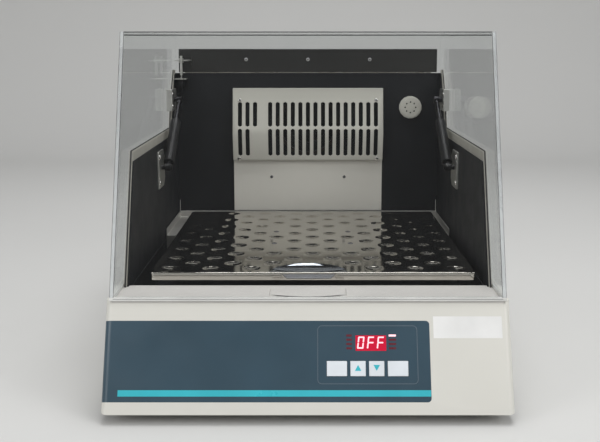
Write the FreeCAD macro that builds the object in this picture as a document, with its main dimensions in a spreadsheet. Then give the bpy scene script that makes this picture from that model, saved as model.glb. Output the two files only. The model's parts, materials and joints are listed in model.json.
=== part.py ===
import FreeCAD, Part
import math
import os
import re

import Sketcher
from FreeCAD import Rotation, Vector

# Incubated benchtop shaker. Millimetres and degrees, +X to the viewer's right, front towards -Y, +Z up.
# The origin is on the floor, under the middle of the whole object.

sizes = {
    # whole object
    "width": 533.4,
    "depth": 711.2,
    "height": 499.8,
    "ledge_height": 148.4,
    "fit": 0.3,
    "overrun": 2,
    # feet and base shell
    "foot_height": 14,
    "foot_radius": 16,
    "foot_in": 48,
    "shell_wall": 3,
    "front_lean": 22.8,
    "corner_radius": 10,
    "lip_radius": 6,
    "rear_proud": 2,
    "bottom_plate_wall": 2,
    "seat_width": 5,
    # top deck, opening and finger scoop
    "deck_wall": 4,
    "deck_inset": 7.7,
    "opening_step": 79.1,
    "scoop_radius": 92.5,
    "scoop_step": 14.1,
    "scoop_run": 51,
    "scoop_half": 52,
    "scoop_drop": 5.5,
    # chamber walls
    "wall_inset": 16.7,
    "liner_wall": 2,
    "side_skin": 4,
    "wall_step": 68.1,
    "wall_lean": 21.3,
    "wall_drop": 97.5,
    "gusset_start_in": 71,
    "gusset_mid_in": 49,
    "gusset_mid_drop": 44.5,
    "gusset_top_in": 10,
    "gusset_top_over": 6.5,
    "liner_margin": 14,
    "liner_edge": 3,
    "gasket_proud": 1.4,
    "gasket_wide": 1.8,
    "rear_room": 88.6,
    "rear_wall": 2,
    "rear_wall_over": 0.2,
    # tub and air deck
    "tub_deep": 56.4,
    "sheet": 1.2,
    "tub_flange": 3,
    "air_deck_long": 172,
    "air_deck_over": 1.8,
    "air_deck_flange": 12,
    "corner_tab": 22,
    # rear housing
    "housing_drop": 3.5,
    "housing_wall": 1.5,
    "cover_wall": 1.5,
    "louvre_count": 7,
    "louvre_share": 17.225,
    "louvre_proud": 2,
    "louvre_half": 90,
    "louvre_skip": 5.1,
    # vent cover and baffle
    "vent_share": 0.57,
    "vent_drop": 28.2,
    "vent_crease_drop": 86.3,
    "vent_tall": 136.3,
    "vent_flange": 7,
    "vent_top_proud": 9,
    "vent_proud": 25,
    "vent_bottom_proud": 15,
    "slot_share": 9.965,
    "slot_width": 7.6,
    "slot_upper_deep": 71.3,
    "slot_upper_drop": 26.3,
    "slot_lower_deep": 127.3,
    "slot_lower_drop": 76.3,
    "baffle_over": 19.6,
    # fan, heater and probe
    "fan_drop": 97.5,
    "fan_radius": 47,
    "fan_inner": 36,
    "fan_depth": 24,
    "fan_shaft": 3,
    "fan_blade": 1.5,
    "intake_radius": 50,
    "scroll_radius": 70,
    "scroll_depth": 34,
    "fan_motor_radius": 32,
    "fan_motor_long": 36,
    "heater_ring": 56,
    "heater_radius": 3.2,
    "heater_stand": 5,
    "sensor_aside": 1.25,
    "sensor_drop": 64.5,
    "sensor_radius": 21.3,
    "sensor_thick": 8,
    "sensor_hole": 1.7,
    "sensor_hole_ring": 10,
    "probe_radius": 3,
    "probe_long": 34,
    # lid
    "lid_step": 53.5,
    "lid_lean": 19.52,
    "lid_gap": 0.5,
    "lid_wall": 5,
    "lid_room": 44,
    "strip_height": 4.3,
    "hinge_out": 5,
    "hinge_drop": 72.3,
    "hinge_in": 10,
    "hinge_radius": 3,
    "pin_radius": 1.4,
    "hinge_leaf": 1.5,
    "hinge_reach": 22,
    "knuckle_count": 5,
    "running": 0.05,
    "hinge_plate_wall": 3,
    "hinge_plate_tall": 45.1,
    # gas struts
    "strut_in": 14,
    "strut_low_back": 263,
    "strut_low_drop": 150.5,
    "strut_high_back": 113,
    "strut_high_drop": 46.5,
    "strut_radius": 9,
    "strut_tube": 2,
    "rod_radius": 4,
    "cylinder_start": 11,
    "cylinder_long": 110,
    "rod_start": 30,
    "eye_radius": 6.5,
    "eye_half": 5,
    "stud_radius": 4,
    "stud_head": 5.5,
    "plate_wall": 3,
    "low_plate_y": 59,
    "low_plate_z": 62,
    "high_plate_y": 53,
    "high_plate_z": 39,
    "plate_chamfer": 12,
    "high_plate_in": 4,
    # lid switch
    "switch_in": 12,
    "switch_front": 15,
    "switch_drop": 9.5,
    "switch_plate_long": 27,
    "switch_plate_wide": 22,
    "angle_wall": 1.5,
    "striker_over": 24.5,
    "striker_radius": 2.5,
    "striker_low_drop": 3.5,
    "striker_tall": 32.5,
    "nut_radius": 4.6,
    "nut_thick": 3.5,
    "plunger_radius": 1.6,
    "plunger_travel": 3,
    "switch_body": 8,
    "switch_tall": 14,
    "lead_radius": 1,
    "lead_long": 12,
    "lead_lean": 40,
    # platform and carrier
    "platform_gap": 21.1,
    "platform_gap_y": 16.4,
    "platform_over": 16.9,
    "platform_edge": 11,
    "platform_sheet": 4,
    "rim_wall": 2.2,
    "platform_corner": 5,
    "dimple_share": 7.8154,
    "dimple_radius": 12.5,
    "dimple_depth": 2,
    "screw_x": 61.2,
    "screw_y": 44.8,
    "screw_radius": 3,
    "grip_offset": -6,
    "grip_half": 55,
    "grip_reach": 54,
    "grip_depth": 6.4,
    "grip_wall": 1.6,
    "carrier_wall": 11.3,
    "carrier_front": 98,
    "carrier_rear": 58,
    "carrier_half": 88,
    "carrier_nose": 40,
    "carrier_shoulder": 20,
    # orbiting drive
    "orbit_radius": 12.7,
    "rest_angle": -55,
    "drive_aside": 0.3,
    "idler_ring": 80,
    "casting_drop": 32,
    "casting_wall": 10,
    "casting_radius": 108,
    "column_ring": 95,
    "column_radius": 8,
    "boss_drop": 42,
    "shaft_radius": 10,
    "bearing_wall": 7,
    "idler_shaft": 8,
    "collar_wall": 3,
    "web_over": 5,
    "web_wall": 14,
    "web_radius": 30,
    "idler_web": 24,
    "weight_radius": 46,
    "weight_half": 34,
    "pin_over": 8.6,
    "crank_pin": 8,
    "idler_pin": 7,
    "pin_boss_wall": 7,
    "pin_boss_over": 23,
    "pulley_radius": 62,
    "pulley_low": 26,
    "pulley_wall": 16,
    "pulley_rim": 2.5,
    "pulley_lip": 3,
    "belt_wall": 2,
    "motor_x": -120,
    "motor_in": 47.6,
    "motor_radius": 34,
    "motor_low": 48,
    "motor_drop": 10.4,
    "motor_shaft": 4,
    "motor_pulley": 16,
    "motor_plate": 3,
    "motor_plate_half_x": 54,
    "motor_plate_half_y": 36,
    "motor_leg": 4,
    # control panel, measured along the leaning front
    "overlay_low": 15.9,
    "overlay_margin": 25.99,
    "overlay_right": 158.9,
    "overlay_wall": 0.8,
    "overlay_return": 22,
    "overlay_round": 5,
    "window_left": 62,
    "window_right": 102,
    "window_deep": 38.8,
    "window_drop": 18.9,
    "key_low_drop": 71,
    "key_drop": 51.8,
    "start_left": 24.5,
    "start_right": 50.6,
    "up_left": 55,
    "up_right": 74.8,
    "down_left": 79.2,
    "down_right": 98.9,
    "select_left": 103.5,
    "select_right": 129.9,
    "key_proud": 0.5,
    "key_deep": 5,
    "key_stem": 2.4,
    "key_stem_radius": 2,
    "key_travel": 0.6,
    "bay_left": 20,
    "bay_right": 135,
    "bay_deep": 75.8,
    "bay_drop": 13.8,
    "board_margin": 10,
    "board_deep": 13,
    "board_wall": 1.6,
    "module_margin": 3,
    "standoff_radius": 2.5,
    "key_switch": 6,
    # mains fittings on the back
    "mains_z": 70,
    "inlet_in": 76.7,
    "inlet_half_x": 24,
    "inlet_half_z": 13,
    "inlet_body_x": 14,
    "inlet_body_z": 10,
    "inlet_deep": 24,
    "inlet_pin": 1.2,
    "fuse_in": 34.7,
    "fuse_radius": 8,
    "fuse_body": 6,
    "rocker_in": 126.7,
    "rocker_half_x": 8,
    "rocker_half_z": 12,
    "rocker_frame": 3,
    "rocker_deep": 14,
}

# places worked out from the sizes above
derived = {
    "half_width": "width / 2",
    "front_edge": "-depth / 2",
    "back_edge": "depth / 2",
    "back_face": "back_edge - rear_proud",
    "front_top": "front_edge + (ledge_height - foot_height) * tan(front_lean)",
    "front_slope": "(ledge_height - foot_height) / cos(front_lean)",
    "rear_face": "back_edge - rear_room",
    "rear_back": "rear_face + rear_wall",
    "lid_foot": "front_edge + lid_step",
    "lid_rear": "rear_face + lid_room",
    "hinge_y": "lid_rear + hinge_out",
    "hinge_z": "height - hinge_drop",
    "housing_top": "hinge_z - housing_drop",
    "housing_back": "back_face - cover_wall",
    "deck_low": "ledge_height - deck_wall",
    "deck_front": "lid_foot + lid_wall / 2",
    "deck_back": "back_face - shell_wall - seat_width / 2",
    "deck_half_width": "half_width - deck_inset",
    "liner_face": "half_width - wall_inset",
    "wall_in": "liner_face + liner_wall",
    "wall_out": "wall_in + side_skin",
    "opening_half_width": "liner_face + fit",
    "opening_front": "lid_foot + opening_step",
    "opening_back": "rear_face + fit",
    "scoop_front": "-lid_foot - scoop_step",
    "wall_foot": "lid_foot + wall_step",
    "wall_top": "hinge_z - wall_drop",
    "gusset_start": "rear_face - gusset_start_in",
    "gusset_mid_y": "rear_face - gusset_mid_in",
    "gusset_mid_z": "hinge_z - gusset_mid_drop",
    "gusset_top_y": "rear_face - gusset_top_in",
    "gusset_top_z": "hinge_z + gusset_top_over",
    "rear_wall_top": "hinge_z + rear_wall_over",
    "tub_half": "liner_face - fit",
    "tub_floor": "ledge_height - tub_deep",
    "air_deck_front": "rear_face - air_deck_long",
    "air_deck_top": "ledge_height + air_deck_over",
    "louvre_pitch": "(housing_top - ledge_height) / louvre_share",
    "louvre_first": "ledge_height + louvre_pitch * louvre_skip",
    "vent_half": "liner_face * vent_share",
    "vent_top": "hinge_z - vent_drop",
    "vent_crease": "vent_top - vent_crease_drop",
    "vent_bottom": "vent_top - vent_tall",
    "slot_pitch": "vent_half / slot_share",
    "slot_upper_low": "vent_top - slot_upper_deep",
    "slot_upper_high": "vent_top - slot_upper_drop",
    "slot_lower_low": "vent_top - slot_lower_deep",
    "slot_lower_high": "vent_top - slot_lower_drop",
    "baffle_foot": "ledge_height + baffle_over",
    "fan_height": "hinge_z - fan_drop",
    "sensor_x": "(vent_half + liner_face) / 2 - sensor_aside",
    "sensor_z": "hinge_z - sensor_drop",
    "lid_inner": "wall_out + lid_gap",
    "lid_out": "lid_inner + lid_wall",
    "lid_slant": "lid_wall / cos(lid_lean)",
    "lid_base": "ledge_height + fit",
    "strip_top": "lid_base + strip_height",
    "lid_inner_top": "height - lid_wall",
    "lid_lip": "hinge_z + angle_wall / 3",
    "hinge_half": "liner_face - hinge_in",
    "hinge_plate_top": "hinge_z + hinge_plate_tall",
    "strut_x": "liner_face - strut_in",
    "strut_low_y": "hinge_y - strut_low_back",
    "strut_low_z": "hinge_z - strut_low_drop",
    "strut_high_y": "hinge_y - strut_high_back",
    "strut_high_z": "hinge_z - strut_high_drop",
    "strut_dy": "strut_high_y - strut_low_y",
    "strut_dz": "strut_high_z - strut_low_z",
    "strut_long": "sqrt(strut_dy * strut_dy + strut_dz * strut_dz)",
    "high_plate_out": "liner_face - high_plate_in",
    "switch_x": "switch_in - liner_face",
    "switch_y": "rear_face - switch_front",
    "switch_plate_z": "hinge_z - switch_drop",
    "striker_z": "hinge_z + striker_over",
    "striker_low": "hinge_z - striker_low_drop",
    "striker_high": "hinge_z + striker_tall",
    "platform_half": "tub_half - platform_gap",
    "platform_half_y": "(rear_face - opening_front) / 2 - platform_gap_y",
    "platform_x": "orbit_radius * cos(rest_angle)",
    "platform_y": "drive_y + orbit_radius * sin(rest_angle)",
    "platform_top": "ledge_height + platform_over",
    "platform_under": "platform_top - platform_sheet",
    "carrier_low": "platform_under - carrier_wall",
    "dimple_pitch_x": "platform_half / dimple_share",
    "dimple_pitch_y": "platform_half_y / dimple_share",
    "drive_y": "(opening_front + rear_face) / 2 + drive_aside",
    "casting_low": "tub_floor - casting_drop",
    "boss_low": "tub_floor - boss_drop",
    "boss_high": "tub_floor - fit",
    "web_low": "tub_floor + web_over",
    "web_high": "web_low + web_wall",
    "pin_top": "ledge_height + pin_over",
    "pin_boss_low": "tub_floor + pin_boss_over",
    "pulley_high": "pulley_low + pulley_wall",
    "motor_y": "back_edge - motor_in",
    "motor_high": "deck_low - motor_drop",
    "plate_top": "foot_height + bottom_plate_wall",
    "overlay_high": "front_slope - overlay_margin",
    "window_low": "overlay_high - window_deep",
    "window_high": "overlay_high - window_drop",
    "key_low": "overlay_high - key_low_drop",
    "key_high": "overlay_high - key_drop",
    "bay_low": "overlay_high - bay_deep",
    "bay_high": "overlay_high - bay_drop",
    "inlet_x": "half_width - inlet_in",
    "fuse_x": "half_width - fuse_in",
    "rocker_x": "half_width - rocker_in",
}

doc = FreeCAD.newDocument("benchtop_shaker")
sheet = doc.addObject("Spreadsheet::Sheet", "Sizes")
for row, (alias, value) in enumerate(sizes.items(), start=1):
    sheet.set(f"A{row}", str(value))
    sheet.setAlias(f"A{row}", alias)
doc.recompute()

nodes = {}


def full(text):
    """The expression with every name written out as cells of the sheet."""

    def swap(found):
        name = found.group(0)
        if name in sizes:
            return "Sizes." + name
        if name in derived:
            return "(" + full(derived[name]) + ")"
        return name

    return re.sub(r"[a-z_][a-z_0-9]*", swap, str(text))


def number(text):
    value = sheet.evalExpression(full(text))
    return float(getattr(value, "Value", value))


def bind(piece, prop, text):
    piece.setExpression(prop, full(text))


def keep(node, piece):
    """Makes a piece one of the parts that are written out, under its own label."""
    piece.Label = node
    nodes[node] = piece
    return piece


def place(piece, x="0", y="0", z="0", axis=None, angle="0"):
    for letter, text in zip("xyz", (x, y, z)):
        bind(piece, f".Placement.Base.{letter}", text)
    if axis:
        placement = piece.Placement
        placement.Rotation = Rotation(axis, 1)
        piece.Placement = placement
        bind(piece, ".Placement.Rotation.Angle", angle)
    return piece


def on_front(piece):
    """Local x stays, local y runs up the leaning front and local z points out of it."""
    return place(piece, "0", "front_edge", "foot_height", Vector(1, 0, 0), "90 - front_lean")


def box(x, y, z):
    """A block from three pairs of low and high places."""
    piece = doc.addObject("Part::Box", "Block")
    for letter, prop, (low, high) in zip("xyz", ("Length", "Width", "Height"), (x, y, z)):
        bind(piece, prop, f"({high}) - ({low})")
        bind(piece, f".Placement.Base.{letter}", low)
    return piece


ALONG_X = Vector(1, 0, 0)
ALONG_Y = Vector(0, 1, 0)
ALONG_Z = Vector(0, 0, 1)
TURN = {
    "x": Rotation(Vector(0, 1, 0), 90),
    "y": Rotation(Vector(1, 0, 0), -90),
    "z": Rotation(),
}


def rod(axis, u, v, low, high, radius, top=None):
    """A round bar or cone along an axis; u and v are its place across, in X, Y, Z order."""
    piece = doc.addObject("Part::Cone" if top else "Part::Cylinder", "Round")
    across = [letter for letter in "xyz" if letter != axis]
    placement = piece.Placement
    placement.Rotation = TURN[axis]
    piece.Placement = placement
    bind(piece, "Height", f"({high}) - ({low})")
    bind(piece, "Radius1" if top else "Radius", radius)
    if top:
        bind(piece, "Radius2", top)
    for letter, text in zip(across + [axis], (u, v, low)):
        bind(piece, f".Placement.Base.{letter}", text)
    return piece


def bar(axis, u, v, low, high, radius, sides=16, turn="0"):
    """A bar with flat sides, for what needs no true round. Its corners lie on the radius."""
    piece = doc.addObject("Part::Prism", "Bar")
    piece.Polygon = sides
    across = [letter for letter in "xyz" if letter != axis]
    spin = Rotation(ALONG_Z, number(turn) + 180 / sides)
    placement = piece.Placement
    placement.Rotation = TURN[axis].multiply(spin)
    piece.Placement = placement
    bind(piece, "Height", f"({high}) - ({low})")
    bind(piece, "Circumradius", radius)
    for letter, text in zip(across + [axis], (u, v, low)):
        bind(piece, f".Placement.Base.{letter}", text)
    return piece


def opening(axis, u, v, low, high, radius, sides=16):
    """The same for a hole, whose flat sides stay outside the radius."""
    return bar(axis, u, v, low, high, f"({radius}) / cos(180 / {sides})", sides)


def fuse(*pieces):
    if len(pieces) == 1:
        return pieces[0]
    made = doc.addObject("Part::MultiFuse", "Joined")
    made.Shapes = list(pieces)
    return made


def group(*pieces):
    made = doc.addObject("Part::Compound", "Group")
    made.Links = list(pieces)
    return made


def cut(base, *tools):
    made = doc.addObject("Part::Cut", "Cut")
    made.Base = base
    made.Tool = tools[0] if len(tools) == 1 else fuse(*tools)
    return made


def common(*pieces):
    made = doc.addObject("Part::MultiCommon", "Shared")
    made.Shapes = list(pieces)
    return made


def sketch_on(body, plane, offset, loops):
    """A sketch on one of the body's planes, moved along its normal. A loop is a list of points,
    or one circle as (x, y, radius)."""
    sketch = body.newObject("Sketcher::SketchObject", "Outline")
    origin = [f for f in body.Origin.OriginFeatures if f.Role == plane + "_Plane"][0]
    sketch.AttachmentSupport = [(origin, "")]
    sketch.MapMode = "FlatFace"
    bind(sketch, ".AttachmentOffset.Base.z", offset)

    def pin_point(index, which, x, y):
        for kind, text in (("DistanceX", x), ("DistanceY", y)):
            made = sketch.addConstraint(
                Sketcher.Constraint(kind, -1, 1, index, which, number(text))
            )
            bind(sketch, f"Constraints[{made}]", text)

    for loop in loops:
        first = sketch.GeometryCount
        if isinstance(loop, tuple):
            x, y, radius = loop
            middle = Vector(number(x), number(y), 0)
            sketch.addGeometry(Part.Circle(middle, Vector(0, 0, 1), number(radius)), False)
            pin_point(first, 3, x, y)
            made = sketch.addConstraint(Sketcher.Constraint("Radius", first, number(radius)))
            bind(sketch, f"Constraints[{made}]", radius)
            continue
        corners = [Vector(number(x), number(y), 0) for x, y in loop]
        count = len(loop)
        for i in range(count):
            sketch.addGeometry(Part.LineSegment(corners[i], corners[(i + 1) % count]), False)
        for i in range(count):
            following = first + (i + 1) % count
            sketch.addConstraint(Sketcher.Constraint("Coincident", first + i, 2, following, 1))
        for i, (x, y) in enumerate(loop):
            pin_point(first + i, 1, x, y)
    return sketch


def pad(body, plane, low, high, *loops):
    """Adds the outline from low to high along the plane's axis."""
    start = f"-({high})" if plane == "XZ" else low
    feature = body.newObject("PartDesign::Pad", "Pad")
    feature.Profile = sketch_on(body, plane, start, loops)
    bind(feature, "Length", f"({high}) - ({low})")
    doc.recompute()
    return feature


def pocket(body, plane, low, high, *loops):
    """Takes the outline away from low to high along the plane's axis."""
    before = body.Shape.Volume
    start = f"-({low})" if plane == "XZ" else high
    profile = sketch_on(body, plane, start, loops)
    feature = body.newObject("PartDesign::Pocket", "Pocket")
    feature.Profile = profile
    bind(feature, "Length", f"({high}) - ({low})")
    doc.recompute()
    if not body.Shape.Volume < before:
        raise ValueError(f"a pocket in {body.Label} cuts nothing")
    return feature


def prism(plane, low, high, *loops):
    body = doc.addObject("PartDesign::Body", "Body")
    pad(body, plane, low, high, *loops)
    return body


def rounded(body, radius, direction, near):
    """Rounds the body's straight edges along a direction that lie where near(middle point) says."""
    edges = []
    for i, edge in enumerate(body.Shape.Edges, start=1):
        if edge.Curve.TypeId != "Part::GeomLine":
            continue
        along = edge.tangentAt(edge.FirstParameter)
        if abs(along.dot(direction)) > 0.999 and near(edge.CenterOfMass):
            edges.append(f"Edge{i}")
    tip = body.Tip
    feature = body.newObject("PartDesign::Fillet", "Round")
    feature.Base = (tip, edges)
    bind(feature, "Radius", radius)
    doc.recompute()
    return feature


def span(side, low, high):
    """A pair of places on the right side, or mirrored to the left."""
    return (low, high) if side > 0 else (f"-({high})", f"-({low})")


def rect(x, y):
    return [(x[0], y[0]), (x[1], y[0]), (x[1], y[1]), (x[0], y[1])]


def grown(pair, by):
    return (f"{pair[0]} - ({by})", f"{pair[1]} + ({by})")


SIDES = {"left": -1, "right": 1}

KEYS = {
    "start_key": ("start_left", "start_right"),
    "up_key": ("up_left", "up_right"),
    "down_key": ("down_left", "down_right"),
    "select_key": ("select_left", "select_right"),
}


def corner(x, y, radius, start, steps=4):
    """Points round a quarter circle, from the start angle on."""
    angles = [start + 90 * i / steps for i in range(steps + 1)]
    return [(f"{x} + ({radius}) * cos({a})", f"{y} + ({radius}) * sin({a})") for a in angles]


def control_overlay():
    """Thin overlay let into the front, wrapped round the left corner."""
    middle = ("corner_radius - half_width", "-corner_radius")
    inner = corner(*middle, "corner_radius - overlay_wall", 90)
    strip = [
        ("overlay_right", "0"),
        *corner(*middle, "corner_radius", 90),
        ("-half_width", "-overlay_return"),
        ("overlay_wall - half_width", "-overlay_return"),
        *inner[::-1],
        ("overlay_right", "-overlay_wall"),
    ]
    body = prism("XZ", "overlay_low", "overlay_high", strip)
    right = number("overlay_right")
    wall = number("overlay_wall")
    rounded(body, "overlay_round", ALONG_Z, lambda p: abs(p.x - right) < wall)
    holes = [rect(grown(ends, "fit"), grown(("key_low", "key_high"), "fit")) for ends in KEYS.values()]
    window = rect(("window_left", "window_right"), ("window_low", "window_high"))
    pocket(body, "XY", "-overlay_wall - overrun", "overrun", *holes, window)
    return keep("control_overlay", on_front(body))


def base_shell(overlay):
    """Outer housing, open below and above, with a seat for the deck and a bay behind the keys."""
    steps = 4
    bend = "(90 - front_lean)"
    ease = "(lip_radius * tan(45 - front_lean / 2))"
    lip_y = f"front_top + {ease}"
    lip = [
        (
            f"{lip_y} - lip_radius * sin({bend} * {i / steps})",
            f"ledge_height - lip_radius + lip_radius * cos({bend} * {i / steps})",
        )
        for i in range(steps, -1, -1)
    ]
    side = [("front_edge", "foot_height"), *lip, ("back_face", "ledge_height"), ("back_face", "foot_height")]
    profile = prism("YZ", "-half_width", "half_width", side)
    plan = [
        *corner("half_width - corner_radius", "back_face - corner_radius", "corner_radius", 0),
        *corner("corner_radius - half_width", "back_face - corner_radius", "corner_radius", 90),
        ("-half_width", "front_edge - overrun"),
        ("half_width", "front_edge - overrun"),
    ]
    upright = prism("XY", "foot_height - overrun", "ledge_height + overrun", plan)
    leaning = [
        *corner("corner_radius - half_width", "-corner_radius", "corner_radius", 90),
        ("-half_width", "-depth * 2"),
        ("half_width", "-depth * 2"),
        *corner("half_width - corner_radius", "-corner_radius", "corner_radius", 0),
    ]
    front = on_front(prism("XZ", "-depth", "depth", leaning))
    body = common(profile, upright, front)
    skin = "shell_wall / cos(front_lean)"
    top = "deck_low - deck_wall"
    inside = [
        (f"front_edge + {skin} - overrun * tan(front_lean)", "foot_height - overrun"),
        (f"front_edge + {skin} + ({top} - foot_height) * tan(front_lean)", top),
        ("back_face - shell_wall", top),
        ("back_face - shell_wall", "foot_height - overrun"),
    ]
    hollow = prism("YZ", "shell_wall - half_width", "half_width - shell_wall", inside)
    deck = ("deck_front", "deck_back")
    half = ("-deck_half_width", "deck_half_width")
    above = "ledge_height + overrun"
    seat = box(grown(half, "fit"), grown(deck, "fit"), ("deck_low", above))
    hole = box(grown(half, "-seat_width"), grown(deck, "-seat_width"), (f"{top} - overrun", above))
    bay = prism(
        "XY",
        "-shell_wall * 2",
        "overrun",
        rect(("bay_left", "bay_right"), ("bay_low", "bay_high")),
    )
    back = ("back_face - shell_wall - overrun", "back_face + overrun")
    height = ("mains_z", "mains_z")
    inlet_x = grown(("inlet_x", "inlet_x"), "inlet_body_x + fit")
    inlet = box(inlet_x, back, grown(height, "inlet_body_z + fit"))
    rocker_x = grown(("rocker_x", "rocker_x"), "rocker_half_x + rocker_frame")
    rocker = box(rocker_x, back, grown(height, "rocker_half_z + rocker_frame"))
    fuse_hole = opening("y", "fuse_x", "mains_z", *back, "fuse_body + fit", 12)
    opened = cut(body, hollow, seat, hole, on_front(bay), inlet, rocker, fuse_hole)
    return keep("base_shell", cut(opened, overlay))


def bottom_plate():
    skin = "shell_wall / cos(front_lean) + bottom_plate_wall * tan(front_lean) + fit"
    half = "half_width - shell_wall - fit"
    outline = rect((f"-({half})", half), (f"front_edge + {skin}", "back_face - shell_wall - fit"))
    return keep("bottom_plate", prism("XY", "foot_height", "plate_top", outline))


def feet():
    made = []
    for x in ("foot_in - half_width", "half_width - foot_in"):
        for y in ("front_edge + foot_in", "back_edge - foot_in"):
            made.append(bar("z", x, y, "0", "foot_height", "foot_radius", 16))
    return keep("feet", group(*made))


def top_deck():
    """Deck plate round the chamber opening, with a half-moon finger scoop whose floor drops forwards."""
    plate = rect(("-deck_half_width", "deck_half_width"), ("deck_front", "deck_back"))
    body = prism("XY", "deck_low", "ledge_height", plate)
    hole = rect(("-opening_half_width", "opening_half_width"), ("opening_front", "opening_back"))
    pocket(body, "XY", "deck_low - overrun", "ledge_height + overrun", hole)
    boss = box(
        ("-scoop_half - deck_wall", "scoop_half + deck_wall"),
        ("-scoop_front - deck_wall", "-scoop_front + scoop_run + deck_wall"),
        ("ledge_height - scoop_drop - deck_wall / 2", "deck_low"),
    )
    wedge = prism(
        "YZ",
        "-scoop_half",
        "scoop_half",
        [
            ("-scoop_front + scoop_run", "ledge_height"),
            ("-scoop_front + scoop_run", "ledge_height + overrun"),
            ("-scoop_front - overrun", "ledge_height + overrun"),
            ("-scoop_front - overrun", "ledge_height - scoop_drop"),
            ("-scoop_front", "ledge_height - scoop_drop"),
        ],
    )
    through = ("deck_low - deck_wall", "ledge_height + overrun")
    disc = rod("z", "0", "scoop_radius - scoop_front", *through, "scoop_radius")
    return keep("top_deck", cut(fuse(body, boss), common(wedge, disc)))


def wall_outline(inset, drop):
    """Side of the chamber: leaning front edge, level top and rising rear gusset."""
    lean = "tan(wall_lean)"
    return [
        (f"wall_foot + {inset}", "ledge_height"),
        (f"wall_foot + (wall_top - {drop} - ledge_height) * {lean} + {inset}", f"wall_top - {drop}"),
        (f"gusset_start + {drop} / 2", f"wall_top - {drop}"),
        (f"gusset_mid_y + {drop} / 2", f"gusset_mid_z - {drop} / 2"),
        ("gusset_top_y", f"gusset_top_z - {drop} / 2"),
    ]


def side_walls():
    for name, side in SIDES.items():
        outline = wall_outline("0", "0")
        outline += [("rear_back - fit", "gusset_top_z"), ("rear_back - fit", "ledge_height")]
        body = prism("YZ", *span(side, "wall_in", "wall_out"), outline)
        keep(f"side_wall_{name}", body)
    liners = []
    for side in SIDES.values():
        outline = wall_outline("liner_edge", "liner_margin")
        outline.append(("rear_face - fit", "gusset_top_z - liner_margin / 2"))
        outline.append(("rear_face - fit", "ledge_height"))
        liners.append(prism("YZ", *span(side, "liner_face", "wall_in"), outline))
    keep("side_liners", group(*liners))
    seals = []
    for side in SIDES.values():
        inner = wall_outline("0", "0")
        forward = [1, 0.7, 0.4, 0.9, 1]
        rise = [0, 1, 1, 0.5, 0.2]
        outer = [
            (f"{y} - gasket_proud * {dy}", f"{z} + gasket_proud * {dz}")
            for (y, z), dy, dz in zip(inner, forward, rise)
        ]
        middle = "(wall_in + wall_out) / 2"
        across = span(side, f"{middle} - gasket_wide / 2", f"{middle} + gasket_wide / 2")
        seals.append(prism("YZ", *across, outer + inner[::-1]))
    keep("wall_gaskets", group(*seals))


def rear_wall():
    wall = ("rear_face", "rear_back")
    plate = box(("-wall_in + fit", "wall_in - fit"), wall, ("ledge_height", "rear_wall_top"))
    through = grown(wall, "overrun")
    hole = opening("y", "0", "fan_height", *through, "intake_radius")
    probe = opening("y", "sensor_x", "sensor_z", *through, "probe_radius + fit", 8)
    terminals = [
        opening("y", f"{sign} * heater_ring", "fan_height", *through, "heater_radius + fit", 8)
        for sign in (-1, 1)
    ]
    keep("rear_wall", cut(plate, hole, probe, *terminals))


def rear_housing():
    across = ("-wall_out", "wall_out")
    outer = box(across, ("rear_back", "housing_back"), ("ledge_height", "housing_top"))
    inner = box(
        ("-wall_out + housing_wall", "wall_out - housing_wall"),
        ("rear_back - overrun", "housing_back + overrun"),
        ("ledge_height - overrun", "housing_top - housing_wall"),
    )
    plate = box(across, ("housing_back", "back_face"), ("ledge_height + fit", "housing_top"))
    ridges = []
    for i in range(int(number("louvre_count"))):
        low = f"louvre_first + {i} * louvre_pitch"
        ridge = [
            ("back_face", low),
            ("back_face + louvre_proud", low),
            ("back_face", f"{low} + louvre_pitch / 2"),
        ]
        ridges.append(prism("YZ", "-louvre_half", "louvre_half", ridge))
    keep("rear_housing", fuse(cut(outer, inner), plate, *ridges))


def tub():
    """Stainless pan hung in the deck's opening, with holes for the four drive shafts."""
    x = ("-tub_half", "tub_half")
    y = ("opening_front + fit", "opening_back - fit")
    body = prism("XY", "tub_floor", "deck_low", rect(x, y))
    inner = rect(grown(x, "-sheet"), grown(y, "-sheet"))
    pocket(body, "XY", "tub_floor + sheet", "deck_low + overrun", inner)
    flange = rect(grown(x, "tub_flange"), grown(y, "tub_flange"))
    pad(body, "XY", "deck_low - sheet", "deck_low", flange, inner)
    floor = grown(("tub_floor", "tub_floor + sheet"), "overrun")
    holes = [opening("z", "0", "drive_y", *floor, "shaft_radius + collar_wall + fit")]
    holes += [opening("z", x, y, *floor, "idler_shaft + collar_wall + fit") for x, y in idler_places()]
    keep("chamber_tub", cut(body, *holes))
    half = "tub_half - sheet - fit"
    back = "opening_back - fit - sheet - fit"
    low = "tub_floor + sheet"
    x = (f"-({half})", half)
    rim = ("air_deck_top", "air_deck_top + air_deck_flange")
    top = box(x, ("air_deck_front", back), ("air_deck_top - sheet", "air_deck_top"))
    face = box(x, ("air_deck_front", "air_deck_front + sheet"), (low, "air_deck_top - sheet"))
    rear = box(x, (f"{back} - sheet", back), rim)
    along = ("air_deck_front", f"{back} - sheet")
    sides = [box(span(side, f"{half} - sheet", half), along, rim) for side in SIDES.values()]
    tabs = [
        prism(
            "YZ",
            *span(side, f"{half} - sheet", half),
            [
                (f"{back} - sheet * 4", "air_deck_top + air_deck_flange"),
                (back, "air_deck_top + air_deck_flange"),
                (back, "air_deck_top + air_deck_flange + corner_tab"),
            ],
        )
        for side in SIDES.values()
    ]
    keep("air_deck", group(top, face, rear, *sides, *tabs))


def idler_places():
    """Two idler shafts on a ring round the main shaft."""
    return [(f"idler_ring * cos({angle})", f"drive_y + idler_ring * sin({angle})") for angle in (30, 150)]


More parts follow.
